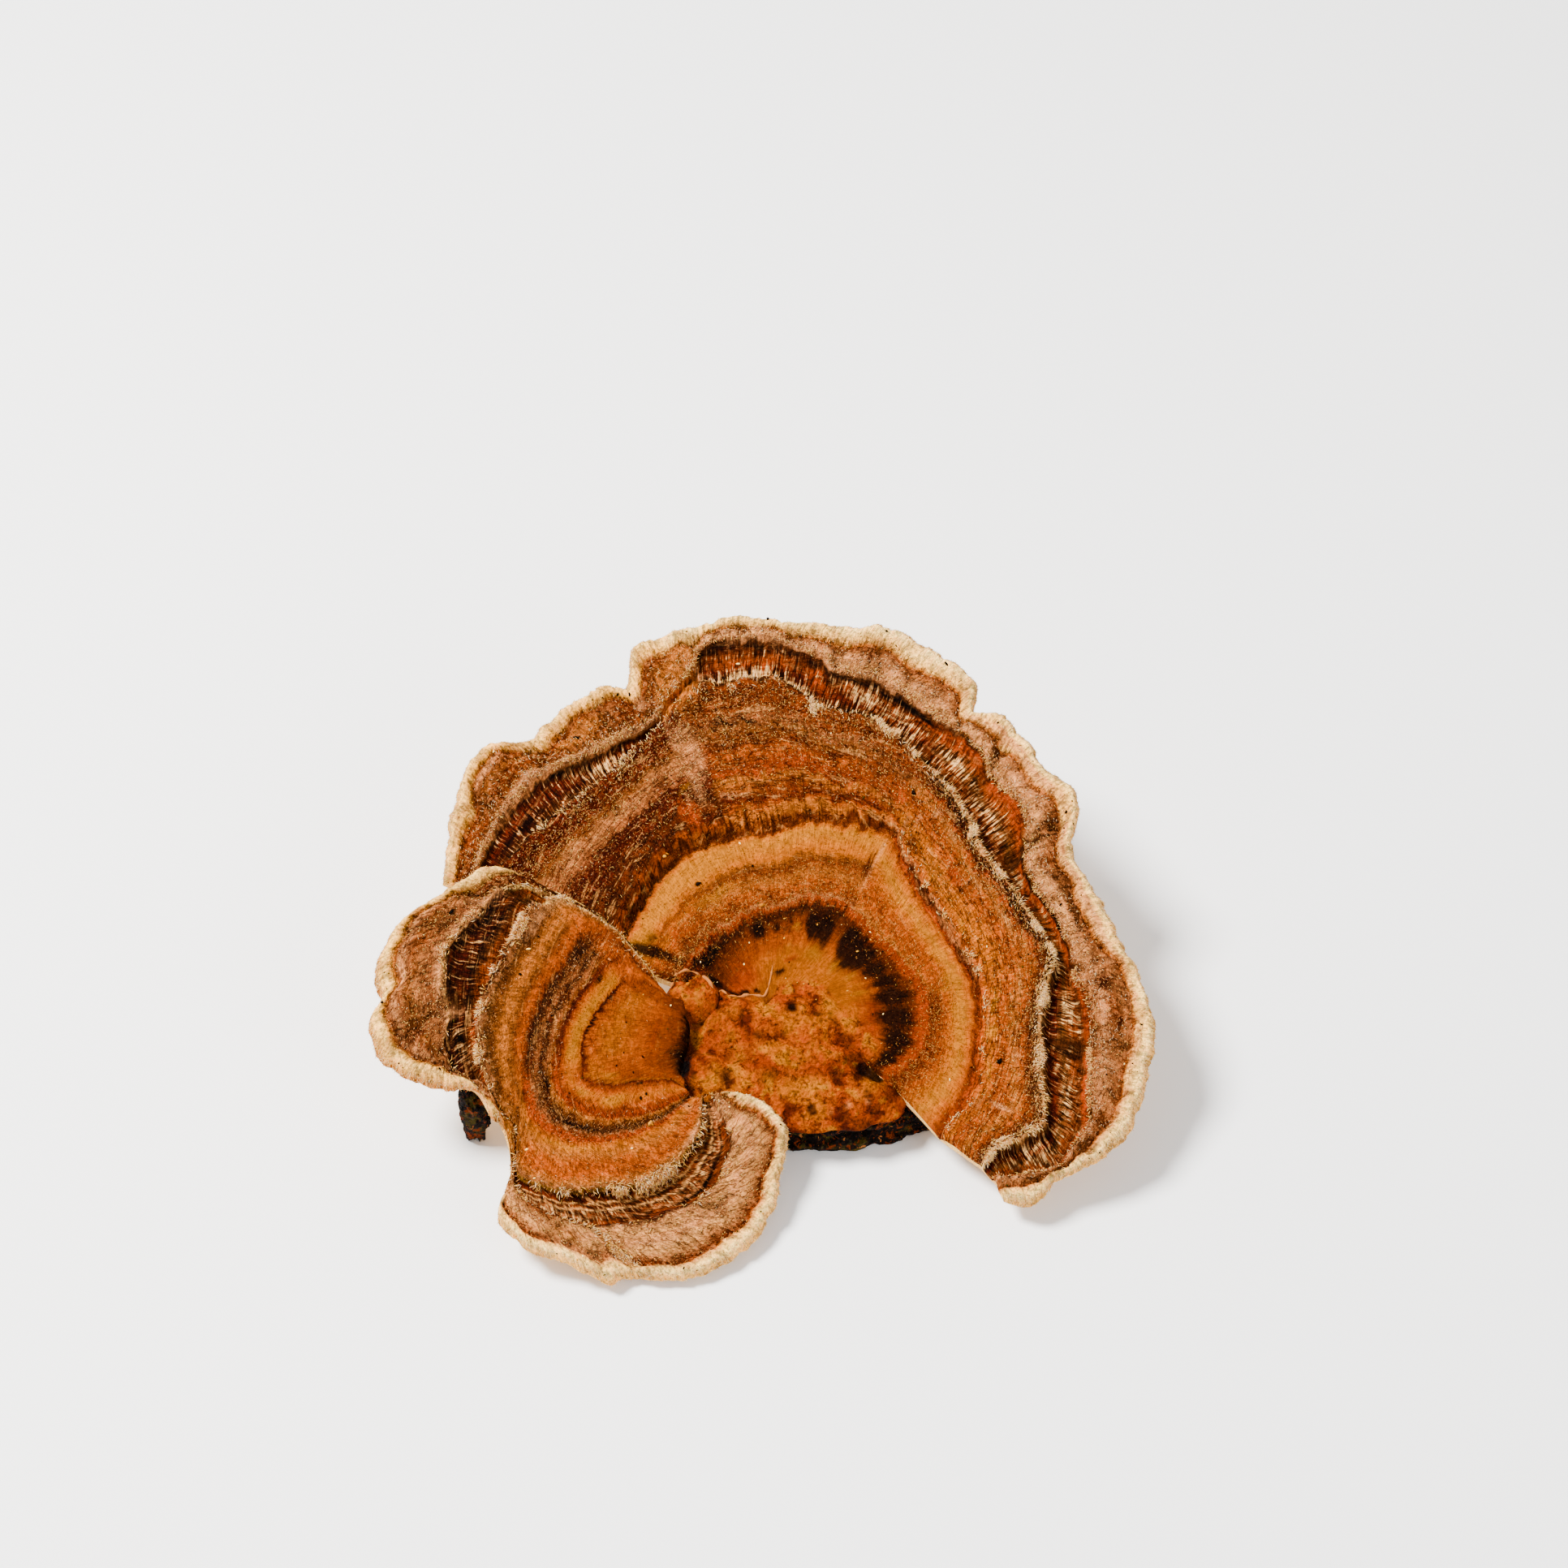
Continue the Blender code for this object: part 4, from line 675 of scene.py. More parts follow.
def near_spot(x, y, px, py, radius):
    return np.exp(-((x - px) ** 2 + (y - py) ** 2) / radius**2)


def rippled(u, v, sizes):
    return sum(height * ripples(u * along_u, v * along_v, seed) for height, along_u, along_v, seed in sizes)


def bumps(x, y, places):
    return sum(lift * near_spot(x, y, px, py, radius) for px, py, radius, lift in places)


def folds(x, y, runs):
    """Steps up to the right of each run, which fade away from it and past its ends."""
    total = np.zeros_like(x)
    for x0, y0, x1, y1, width, start, end, fade in runs:
        length = math.hypot(x1 - x0, y1 - y0)
        along = ((x - x0) * (x1 - x0) + (y - y0) * (y1 - y0)) / length
        right = ((x - x0) * (y1 - y0) - (y - y0) * (x1 - x0)) / length
        share = np.clip(along / length, 0, 1)
        beyond = np.maximum(np.maximum(-along, along - length - FOLD_OVERRUN), 0)
        side = 1 / (1 + np.exp(-np.clip(right / (FOLD_SHARPNESS * width), -30, 30)))
        waning = np.exp(-np.maximum(right, 0) / fade - (beyond / FOLD_TAPER) ** 2)
        total += (start + (end - start) * share) * side * waning
    return total


def bearing_of(x, y):
    """In degrees, from -120 round to 240, so that the large fan has no jump."""
    bearing = np.degrees(np.arctan2(y, x))
    return np.where(bearing < -120, bearing + 360, bearing)


def main_height(x, y):
    """The large fan's upper face over the plan, before its reliefs."""
    bearing = bearing_of(x, y)
    bearings, reaches, rises = np.array(MAIN_RISE, float).T
    share = np.hypot(x, y) / np.interp(bearing, bearings, reaches)
    rise = np.interp(bearing, bearings, rises) * share**RISE_POWER
    return GROWTH_CENTRE_HEIGHT + rise + bumps(x, y, MAIN_SWELLS) + folds(x, y, MAIN_FOLDS)


def main_step(bearing, growth):
    """The rise of the large fan at its ledge, which fades out towards the margin."""
    start = np.clip((growth - STEP_FOOT) / (STEP_TOP - STEP_FOOT), 0, 1)
    end = np.clip((STEP_FADED - growth) / (STEP_FADED - STEP_TOP), 0, 1)
    return eased(MAIN_STEP, bearing) * start * end


def side_height(x, y):
    """The second fan's upper face over the plan, before its reliefs."""
    level, along_x, along_y = SIDE_LEAN
    px, py, radius, depth = SIDE_DISH
    dish = depth * np.maximum(0, 1 - ((x - px) ** 2 + (y - py) ** 2) / radius**2)
    return level + along_x * x + along_y * y - dish + bumps(x, y, SIDE_SWELLS) + folds(x, y, SIDE_FOLDS)


def hub_heights(x, y, ring):
    """The hub's lumpy top and its waist; ring is 0 at its middle and 1 at its outline."""
    level, along_x, along_y = HUB_LEAN
    top = level + along_x * (x - HUB_MIDDLE[0]) + along_y * (y - HUB_MIDDLE[1]) + HUB_DOME * (1 - ring**2)
    top = top + bumps(x, y, HUB_KNOBS) + rippled(x, y, HUB_LUMPS)
    foot = BARK_TOP + JOIN_GAP
    return top, foot + HUB_WAIST * (top - foot)


def hub_level(x, y):
    """The hub's upper face over the plan, falling to its waist at the outline and steeply outside it."""
    from_x, from_y = x - HUB_MIDDLE[0], y - HUB_MIDDLE[1]
    reach = eased(HUB_OUTLINE, np.degrees(np.arctan2(from_y, from_x)))
    ring = np.hypot(from_x, from_y) / reach
    inside = np.clip(ring, 0, 1)
    top, waist = hub_heights(x, y, inside)
    return waist + (top - waist) * np.sqrt(1 - inside**4) - np.maximum(ring - 1, 0) * HUB_FALL


def smooth_max(a, b, blend):
    """The higher of two heights, with no crease where they meet."""
    meet = np.maximum(blend - np.abs(a - b), 0) / blend
    return np.maximum(a, b) + meet**2 * blend / 4


# ---- fans as fine sheets
def crowded_shares(count):
    """Shares of a line, closer together at its free ends."""
    i = np.arange(count - 1)
    steps = 1 - END_CROWDING * (np.exp(-i / END_CROWDED) + np.exp(-(count - 2 - i) / END_CROWDED))
    return np.concatenate([[0], np.cumsum(steps)]) / steps.sum()


def growth_rows(counts):
    """The growth of each row, closer together towards the margin in the rim."""
    rows = [k + np.linspace(0, 1, count, endpoint=False) for k, count in enumerate(counts[:-1])]
    t = np.linspace(0, 1, counts[-1] + 1)
    return np.concatenate([*rows, len(counts) - (1 - t) ** RIM_CROWDING])


def fan_lines(lines, rim_width, count):
    """The growth lines as places, with the rim's inner line put in before the margin."""
    shares = crowded_shares(count)
    placed = [line_places(line, shares) for line in lines]
    margin, groove = placed[-1], placed[-2]
    span = np.linalg.norm(margin - groove, axis=1)
    run = lengths(margin)
    held = smooth_step(0.5, 4, np.minimum(run, run[-1] - run))
    wobble = rippled(run, 0 * run, MARGIN_WOBBLE) * held
    margin = margin + (margin - groove) / np.maximum(span, 0.01)[:, None] * wobble[:, None]
    width = rim_width * (1 + rippled(run, 0 * run, RIM_UNEVENNESS))
    share = np.clip(width / np.maximum(span, 0.01), 0, 0.6)[:, None]
    return np.array([*placed[:-1], margin + (groove - margin) * share, margin])


def clefts(at, growth, places):
    """How deep each point lies in a cleft, from 0 to 1, and the depth there."""
    share, depth = np.zeros_like(growth), np.zeros_like(growth)
    for place, start, end, wide, deep in places:
        begun, not_over = smooth_step(start - 0.1, start + 0.25, growth), smooth_step(end, end - 0.35, growth)
        inside = near(at, place, wide) * begun * not_over
        share = np.maximum(share, inside)
        depth = np.maximum(depth, inside * deep)
    return share, depth


def spots(at, growth, places):
    """How much the spots cover, by place across and growth."""
    left = np.ones_like(growth)
    for place, level, wide, deep, strength in places:
        left = left * (1 - strength * near(at, place, wide) * near(growth, level, deep))
    return 1 - left


def plan_spots(x, y, places):
    """How much the spots cover, seen from above."""
    left = np.ones_like(x)
    for px, py, radius, strength in places:
        left = left * (1 - strength * near_spot(x, y, px, py, radius))
    return 1 - left


# What sets the fans apart. lines: growth lines. rows: from one line to the next. measured: the line that
# lengths across are measured on. turn: 1 where the sides follow each other with the place across, -1 where
# they run against it. ridges, lumps and wrinkles: (growth, height). sides: bands inside and outside the
# split. changes: masks that pass from one side to the next, as (growth up to which, place across, softness).
MAIN = SimpleNamespace(
    lines=[from_bearings(line) for line in (
        MAIN_ROOT, MAIN_RED_LINE, MAIN_LEDGE, MAIN_CREST, MAIN_GROOVE, MAIN_MARGIN,
    )],
    rows=(20, 24, 30, 18, 16, 16),
    columns=560,
    rim_width=3.0,
    measured=3,
    has_hub=True,
    turn=-1,
    height=main_height,
    relief=MAIN_RELIEF,
    ridges=[(0, 0.02), (1, 0.03), (2, 0.06), (2.9, 0.07), (3.1, 0.18), (3.9, 0.18), (4.15, 0.06), (6, 0.05)],
    lumps=[
        (0, 0.12), (1, 0.1), (2, 0.15), (2.8, 0.2), (3.2, 0.14), (4.15, 0.75), (4.9, 0.65), (5.3, 0.36),
        (6, 0.12),
    ],
    wrinkles=[(0, 0.03), (1, 0.03), (2, 0.07), (2.9, 0.06), (3.2, 0.14), (3.9, 0.14), (4.2, 0.05), (6, 0.02)],
    clefts=MAIN_CLEFTS,
    marks=MAIN_MARKS,
    velvet=MAIN_VELVET,
    wet=MAIN_WET,
    barred=MAIN_BARRED,
    layered=MAIN_LAYERED,
    sides=(
        (BANDS_LEFT, BANDS_LEFT_OUTER), (BANDS_TOP, BANDS_TOP_OUTER), (BANDS_RIGHT, BANDS_RIGHT_OUTER),
        (BANDS_FRONT, BANDS_FRONT_OUTER),
    ),
    split=3.0,
    changes={
        "to_top": [(2.03, 136, 12), (6, 113, 1.6)],
        "to_right": [(1.02, 59, 6), (2.02, 59, 1.2), (6, 59, 6)],
        "to_front": [(6, 5, 7)],
    },
)
SIDE = SimpleNamespace(
    lines=(SIDE_ROOT, SIDE_LINE_1, SIDE_YELLOW, SIDE_DARK, SIDE_LEDGE, SIDE_GROOVE, SIDE_MARGIN),
    rows=(18, 10, 12, 16, 14, 14, 14),
    columns=430,
    rim_width=2.4,
    measured=4,
    has_hub=False,
    turn=1,
    height=side_height,
    relief=SIDE_RELIEF,
    ridges=[(0, 0.02), (2, 0.03), (4, 0.05), (4.2, 0.15), (4.9, 0.15), (5.2, 0.05), (7, 0.06)],
    lumps=[(0, 0.14), (2, 0.14), (3.6, 0.18), (4.2, 0.14), (5.2, 0.6), (5.9, 0.5), (6.3, 0.28), (7, 0.12)],
    wrinkles=[(0, 0.03), (2, 0.05), (3.8, 0.05), (4.2, 0.14), (4.9, 0.14), (5.2, 0.04), (7, 0.02)],
    clefts=SIDE_CLEFTS,
    marks=SIDE_MARKS,
    velvet=SIDE_VELVET,
    wet=SIDE_WET,
    barred=SIDE_BARRED,
    layered=SIDE_LAYERED,
    sides=(
        (BANDS_SIDE_BOTTOM, BANDS_SIDE_BOTTOM_OUTER), (BANDS_SIDE_LEFT, BANDS_SIDE_LEFT_OUTER),
        (BANDS_SIDE_TOP, BANDS_SIDE_TOP),
    ),
    split=4.04,
    changes={"to_left": [(7, 46, 5)], "to_crown": [(7, 79, 2)]},
)


class Fan:
    """A fan's fine upper and lower faces, and what is known at each of their points. The place across (at)
    is a bearing on the large fan and a column share, from 0 to 100, on the second."""

    def __init__(self, plan):
        self.plan = plan
        self.lines = fan_lines(plan.lines, plan.rim_width, plan.columns)
        self.last = len(self.lines) - 1
        rows = growth_rows(plan.rows)
        self.top_rows = len(rows)
        under = rows[:-1][::-1][UNDER_EVERY // 2 :: UNDER_EVERY]
        growth = np.concatenate([rows, under, [0]])
        self.top = (np.arange(len(growth)) < self.top_rows)[:, None]
        k = np.minimum(growth.astype(int), self.last - 1)
        xy = self.lines[k] + (self.lines[k + 1] - self.lines[k]) * (growth - k)[:, None, None]
        self.x, self.y = xy[..., 0], xy[..., 1]
        self.level = np.broadcast_to(growth[:, None], self.x.shape)
        self.across = np.broadcast_to(lengths(self.lines[plan.measured]), self.x.shape)
        steps = np.linalg.norm(np.diff(xy, axis=0), axis=2)
        out = np.concatenate([[0 * self.across[0]], np.cumsum(steps, axis=0)])
        self.along = np.where(self.top, out, 2 * out[self.top_rows - 1] - out)
        held = smooth_step(0.1, 0.5, self.level) * smooth_step(0.2, 0.9, self.last - 0.9 - self.level)
        wander = RAGGED * rippled(self.across, self.along, WANDER) * held
        self.growth = self.level + wander
        self.at = np.broadcast_to(np.linspace(0, 100, plan.columns), self.x.shape)
        self.hub = np.zeros(self.x.shape)
        if plan.has_hub:
            self.at = bearing_of(self.x, self.y)
            line = np.hypot(*self.lines[1].T)
            from_start = (np.hypot(self.x, self.y) - MAIN_START) / (line - MAIN_START)
            self.growth = np.where(self.level < 1, from_start + wander, self.growth)
        self.cleft, cleft_depth = clefts(self.at, self.growth, plan.clefts)
        upper = plan.height(self.x, self.y)
        lower = upper - TISSUE_AT_ROOT - (TISSUE_AT_RIM - TISSUE_AT_ROOT) * self.level / self.last
        upper = upper + eased(plan.relief, self.growth)
        if plan.has_hub:
            upper = upper + main_step(self.at, self.growth)
        upper = upper - cleft_depth + self.fine_relief() * smooth_step(0, 0.5, self.last - self.level)
        if plan.has_hub:
            hub = hub_level(self.x, self.y)
            self.hub = smooth_step(-1.3, 0.1, hub - upper)
            upper = smooth_max(upper, hub - HUB_COVER, HUB_BLEND)
        self.round_off(upper, lower, xy)
        self.masks = self.made_masks()

    def fine_relief(self):
        """Ridges along the growth, soft lumps, and fine wrinkles across it."""
        plan = self.plan
        kinds = ((plan.ridges, RIDGES), (plan.lumps, LUMPS), (plan.wrinkles, WRINKLES))
        return sum(eased(size, self.level) * rippled(self.across, self.along, made) for size, made in kinds)

    def round_off(self, upper, lower, xy):
        """Joins both faces round the margin and the free ends, and down to nothing at the root."""
        margin = self.lines[-1]
        run = lengths(margin)
        to_end = np.minimum(run, run[-1] - run)
        to_margin = np.linalg.norm(margin - xy, axis=2)
        end_round, rim_round = (
            np.sqrt(1 - (1 - np.clip(distance / EDGE_ROUND, 0, 1)) ** 2) for distance in (to_end, to_margin)
        )
        body = rim_round * end_round * np.minimum(1, self.level / ROOT_ROUND)
        centre = (upper + lower) / 2
        z = centre + (np.where(self.top, upper, lower) - centre) * body
        self.points = np.stack([self.x, self.y, z], axis=2)

    def made_masks(self):
        """Shares from 0 to 1 by name, which the tissue's material and the hairs read."""
        plan, growth, hub = self.plan, self.growth, self.hub
        masks = {"cleft": self.cleft, "hub": hub}
        for name in MARKS:
            on_fan = spots(self.at, growth, plan.marks.get(name, []))
            masks[name] = on_fan * (1 - hub) + plan_spots(self.x, self.y, HUB_MARKS.get(name, [])) * hub
        for name, zones in plan.changes.items():
            ends, places, softs = np.array(zones, float).T
            zone = np.searchsorted(ends[:-1], growth)
            masks[name] = smooth_step(-softs[zone], softs[zone], (self.at - places[zone]) * plan.turn)
        masks["velvet"] = eased(plan.velvet, growth) * (1 - 0.8 * hub)
        masks["wet"] = np.maximum(eased(plan.wet, growth), hub)
        masks["barred"] = eased(plan.barred, growth)
        masks["layered"] = eased(plan.layered, growth) * (1 - hub)
        if plan.has_hub:
            masks["barred"] = masks["barred"] * (1 - masks["apricot"])
        return masks


MAIN_FAN, SIDE_FAN = Fan(MAIN), Fan(SIDE)


# ---- mesh helpers
def deselect():
    if bpy.context.mode != "OBJECT":
        bpy.ops.object.mode_set(mode="OBJECT")
    bpy.ops.object.select_all(action="DESELECT")


def added(name):
    """The primitive that was just added, under its own name."""
    obj = bpy.context.active_object
    obj.name = obj.data.name = name
    return obj


def ball(name, add_sphere, **fineness):
    """A new sphere of radius 1, and the places of its points for reshaping."""
    deselect()
    add_sphere(radius=1, **fineness)
    obj = added(name)
    places = np.empty(len(obj.data.vertices) * 3)
    obj.data.vertices.foreach_get("co", places)
    return obj, places.reshape(-1, 3)


def reshape(obj, places):
    obj.data.vertices.foreach_set("co", (places * MM).ravel())


def settle(obj, materials, slot, *replaced):
    """Gives a finished piece its materials and its place in the frame."""
    for name in materials:
        obj.data.materials.append(material(name))
    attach(obj, "root")
    if replaced:
        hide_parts(*replaced)


def store(mesh, name, values):
    layer = mesh.attributes.new(name, "FLOAT", "POINT")
    layer.data.foreach_set("value", np.ascontiguousarray(values, np.float32).ravel())


def fan_piece(name, fan):
    """A grid folded over the margin and back to the root, its free edges closed."""
    rows, columns = fan.x.shape
    deselect()
    bpy.ops.mesh.primitive_grid_add(x_subdivisions=columns - 1, y_subdivisions=rows - 1, size=0.1)
    obj = added(name)
    mesh = obj.data
    mesh.uv_layers[0].name = "OFBake"
    reshape(obj, fan.points)
    stored = {"growth": fan.growth, "across": fan.across, "along": fan.along, **fan.masks}
    for label, values in stored.items():
        store(mesh, label, values)
    under = np.repeat(np.arange(rows - 1) >= fan.top_rows, columns - 1).astype(np.int32)
    mesh.polygons.foreach_set("material_index", under)
    bpy.ops.object.mode_set(mode="EDIT")
    bpy.ops.mesh.select_all(action="SELECT")
    bpy.ops.mesh.remove_doubles(threshold=0.000002)
    bpy.ops.mesh.fill_holes(sides=0)
    bpy.ops.mesh.select_all(action="SELECT")
    bpy.ops.mesh.normals_make_consistent(inside=False)
    bpy.ops.object.mode_set(mode="OBJECT")
    bpy.ops.object.shade_smooth()
    return obj


def array_mesh(name, places, corners, sides):
    """An object from an array of places, the corners of all its faces, and each face's number of sides."""
    mesh = bpy.data.meshes.new(name)
    mesh.vertices.add(len(places))
    mesh.vertices.foreach_set("co", (places * MM).astype(np.float32).ravel())
    mesh.loops.add(len(corners))
    mesh.loops.foreach_set("vertex_index", corners.astype(np.int32))
    mesh.polygons.add(len(sides))
    starts = np.concatenate([[0], np.cumsum(sides)[:-1]]).astype(np.int32)
    mesh.polygons.foreach_set("loop_start", starts)
    mesh.update(calc_edges=True)
    obj = bpy.data.objects.new(name, mesh)
    bpy.context.scene.collection.objects.link(obj)
    return obj


# ---- hair
TONE_START, TONE_SPAN = 0.03, 0.94  # where the tones lie along the map's u
TONE_WEDGE = 0.002  # how far corners stand apart along the map's u, so that no face is only a line there


DARK_HAIR_INKS = ("rust", "brown", "red brown", "ox red")
DARK_HAIR_SHARE = 0.16


def tone(*names):
    """Places of inks along the hair's ramp."""
    return np.array([TONES.index(name) for name in names]) / (len(TONES) - 1)


def map_tones(obj, tones, shift, along):
    """The map that the hair's material reads: tone and a small shift along u, root to tip along v."""
    uv = np.stack(np.broadcast_arrays(TONE_START + TONE_SPAN * tones + shift, along), axis=-1)
    obj.data.uv_layers.new(name="OFBake").data.foreach_set("uv", uv.astype(np.float32).ravel())


def unit(vectors):
    return vectors / np.maximum(np.linalg.norm(vectors, axis=-1, keepdims=True), 1e-9)


class Roots:
    """Random places on a fan's upper face, as many to an area as density says at each place and growth."""

    def __init__(self, fan, count, density, seed):
        self.fan, self.count = fan, count
        self.rng = np.random.default_rng(seed)
        p = fan.points[: fan.top_rows]
        across, out = p[:-1, 1:] - p[:-1, :-1], p[1:, :-1] - p[:-1, :-1]
        normal = np.cross(out, across)
        normal = normal * np.sign(normal[..., 2].sum())
        at, growth = fan.at[: fan.top_rows - 1, :-1], fan.growth[: fan.top_rows - 1, :-1]
        weight = np.linalg.norm(normal, axis=2) * np.maximum(density(at, growth), 0)
        cells = self.rng.choice(weight.size, count, p=(weight / weight.sum()).ravel())
        i, j = self.cells = np.unravel_index(cells, weight.shape)
        s, t = self.rng.random((2, count, 1))
        self.place = p[i, j] + across[i, j] * s + out[i, j] * t
        self.across, self.out, self.normal = unit(across[i, j]), unit(out[i, j]), unit(normal[i, j])
        self.growth = fan.growth[i, j]

    def leaning(self, out, across, up):
        """A unit direction for each root, from (mean, spread) in each of the three directions."""
        parts = [self.rng.normal(*pair, (self.count, 1)) for pair in (out, across, up)]
        return unit(self.out * parts[0] + self.across * parts[1] + self.normal * np.abs(parts[2]))

    def uniform(self, low, high):
        return self.rng.uniform(low, high, self.count)

    def bowed(self, bow):
        """How far the middle of each hair bows out."""
        lift = self.normal * self.uniform(0.1, bow)[:, None]
        return lift + self.across * self.rng.normal(0, bow / 2, (self.count, 1))

    def mask(self, name):
        return self.fan.masks[name][self.cells]

    def banded_tones(self, frost, pale):
        """Each hair's ink: of the band or mark under it, or a pale one for the share that frost gives."""
        plan = self.fan.plan
        side = np.zeros(self.count, int)
        for number, change in enumerate(plan.changes, 1):
            side = np.where(self.mask(change) > self.uniform(0.3, 0.7), number, side)
        growth = self.growth + self.rng.normal(0, 0.05, self.count)
        tones = np.zeros(self.count)
        for number, (inner, outer) in enumerate(plan.sides):
            for pairs, zone in ((inner, growth <= plan.split), (outer, growth > plan.split)):
                here = (side == number) & zone
                places = np.array([place for place, name in pairs])
                nearest = np.abs(growth[here, None] - places).argmin(axis=1)
                tones[here] = tone(*[name for place, name in pairs])[nearest]
        for label, looks in MARK_LOOKS.items():
            tones = np.where(self.mask(label) > self.uniform(0.35, 0.75), tone(looks[0]), tones)
        dark = self.rng.random(self.count) < DARK_HAIR_SHARE
        tones = np.where(dark, self.rng.choice(tone(*DARK_HAIR_INKS), self.count), tones)
        frosted = self.rng.random(self.count) < eased(frost, self.growth)
        tones = np.where(frosted, self.rng.choice(tone(*pale), self.count), tones)
        return np.clip(tones + self.rng.normal(0, 0.3 / len(TONES), self.count), 0, 1)


# A three-sided hair's faces by its corners, and how far up each corner lies; straight, then bent midway
STRAIGHT_FACES = [(0, 2, 1), (0, 1, 3), (1, 2, 3), (2, 0, 3)]
STRAIGHT_LEVELS = [0, 0, 0, 1]
BENT_FACES = [(0, 2, 1), (0, 1, 4, 3), (1, 2, 5, 4), (2, 0, 3, 5), (3, 4, 6), (4, 5, 6), (5, 3, 6)]
BENT_LEVELS = [0, 0, 0, 0.5, 0.5, 0.5, 1]


def strands(name, roots, way, length, width, tones, bow=None, slot="banded_tissue"):
    """Closed three-sided hairs as one piece; with a bow they bend in the middle."""
    root, count = roots.place, roots.count
    side = unit(np.cross(way, roots.rng.normal(size=(count, 3))))
    other = np.cross(way, side)
    turns = np.radians([90, 210, 330])[:, None]
    ring = (side[:, None] * np.cos(turns) + other[:, None] * np.sin(turns)) * (width / 2)[:, None, None]
    length = length[:, None]
    tip = root + way * length
    rings = [root[:, None] + ring]
    faces, levels = STRAIGHT_FACES, STRAIGHT_LEVELS
    if bow is not None:
        rings.append((root + way * length * 0.5 + bow * 0.5)[:, None] + ring * 0.8)
        tip = tip - bow * 0.3
        faces, levels = BENT_FACES, BENT_LEVELS
    places = np.concatenate([*rings, tip[:, None]], axis=1)
    corners = np.concatenate(faces)
    all_corners = (np.arange(count)[:, None] * len(levels) + corners).ravel()
    sides = np.tile([len(face) for face in faces], count)
    obj = array_mesh(name, places.reshape(-1, 3), all_corners, sides)
    shift = np.where(corners == len(levels) - 1, 0, corners % 3 - 1) * TONE_WEDGE
    map_tones(obj, tones[:, None], shift, 0.02 + 0.96 * np.array(levels)[corners])
    obj.data.shade_smooth()
    settle(obj, ["fungus_hair"], slot)


def grains(name, places, radii, stretch, tones, seed, slot="banded_tissue"):
    """Closed lumps of twenty faces as one piece, each turned at random and stretched."""
    rng = np.random.default_rng(seed)
    pattern, form = ball("grain_form", bpy.ops.mesh.primitive_ico_sphere_add, subdivisions=1)
    sides = np.array([p.vertices[:] for p in pattern.data.polygons])
    bpy.data.objects.remove(pattern)
    count = len(places)
    first = unit(rng.normal(size=(count, 3)))
    second = unit(np.cross(first, rng.normal(size=(count, 3))))
    turns = np.stack([first, second, np.cross(first, second)], axis=1) * np.array(stretch)[:, None]
    lumps = form * rng.uniform(0.75, 1.2, (count, len(form), 1))
    points = np.einsum("nij,njk->nik", lumps, turns) * radii[:, None, None] + places[:, None]
    corners = (np.arange(count)[:, None] * len(form) + sides.ravel()).ravel()
    obj = array_mesh(name, points.reshape(-1, 3), corners, np.full(count * len(sides), 3))
    shift = np.tile([0.0, TONE_WEDGE, TONE_WEDGE], count * len(sides))
    along = 0.95 + np.tile([0.0, 0.0, 0.01], count * len(sides))
    map_tones(obj, np.repeat(tones, sides.size), shift, along)
    settle(obj, ["fungus_hair"], slot)


# ---- node helpers
def plug(value, socket):
    """Feeds an input from a wire, or sets it to a plain value."""
    if isinstance(value, Wire):
        socket.id_data.links.new(value.socket, socket)
    else:
        socket.default_value = value


def add(tree, kind, values=None, **settings):
    """A new node with these settings; values hold numbers, colours or wires for its inputs."""
    node = tree.nodes.new(kind)
    for name, value in settings.items():
        setattr(node, name, value)
    for key, value in (values or {}).items():
        plug(value, node.inputs[key])
    return node


class Wire:
    """An output of a shader node. Arithmetic on it puts down more nodes."""

    def __init__(self, node, output=0):
        self.tree, self.socket = node.id_data, node.outputs[output]

    def maths(self, operation, first, second=0.0):
        return Wire(add(self.tree, "ShaderNodeMath", {0: first, 1: second}, operation=operation))

    def __add__(self, other):
        return self.maths("ADD", self, other)

    def __sub__(self, other):
        return self.maths("SUBTRACT", self, other)

    def __rsub__(self, other):
        return self.maths("SUBTRACT", other, self)

    def __mul__(self, other):
        return self.maths("MULTIPLY", self, other)

    def __truediv__(self, other):
        return self.maths("DIVIDE", self, other)

    def __abs__(self):
        return self.maths("ABSOLUTE", self)

    def or_more(self, other):
        return self.maths("MAXIMUM", self, other)

    def between(self, low, high, start=0.0, end=1.0):
        """The smooth rise from start at low to end at high."""
        values = {"Value": self, "From Min": low, "From Max": high, "To Min": start, "To Max": end}
        return Wire(add(self.tree, "ShaderNodeMapRange", values, interpolation_type="SMOOTHSTEP"))


def mark(tree, name):
    """What is stored at the mesh's points under this name."""
    return Wire(add(tree, "ShaderNodeAttribute", attribute_name=name), "Fac")


def noise(place, scale, detail=3.0, roughness=0.55, distortion=0.0):
    values = {"Vector": place, "Scale": scale, "Detail": detail, "Roughness": roughness}
    values["Distortion"] = distortion
    return Wire(add(place.tree, "ShaderNodeTexNoise", values), "Fac")


def mixed(share, under, over, way="MIX"):
    """One colour laid over another by this share. A colour is a wire or the name of an ink."""
    tree = next(part.tree for part in (share, under, over) if isinstance(part, Wire))
    under, over = (ink(part) if isinstance(part, str) else part for part in (under, over))
    node = add(tree, "ShaderNodeMix", {0: share, 6: under, 7: over}, data_type="RGBA", blend_type=way)
    return Wire(node, 2)


def coated(colour, *coats):
    """A colour with others laid over it in turn, each as (share, colour)."""
    for share, over in coats:
        colour = mixed(share, colour, over)
    return colour


def shaded(colour, shade):
    """A colour made lighter or darker."""
    values = {"Red": shade, "Green": shade, "Blue": shade}
    return mixed(1.0, colour, Wire(add(shade.tree, "ShaderNodeCombineColor", values)), "MULTIPLY")


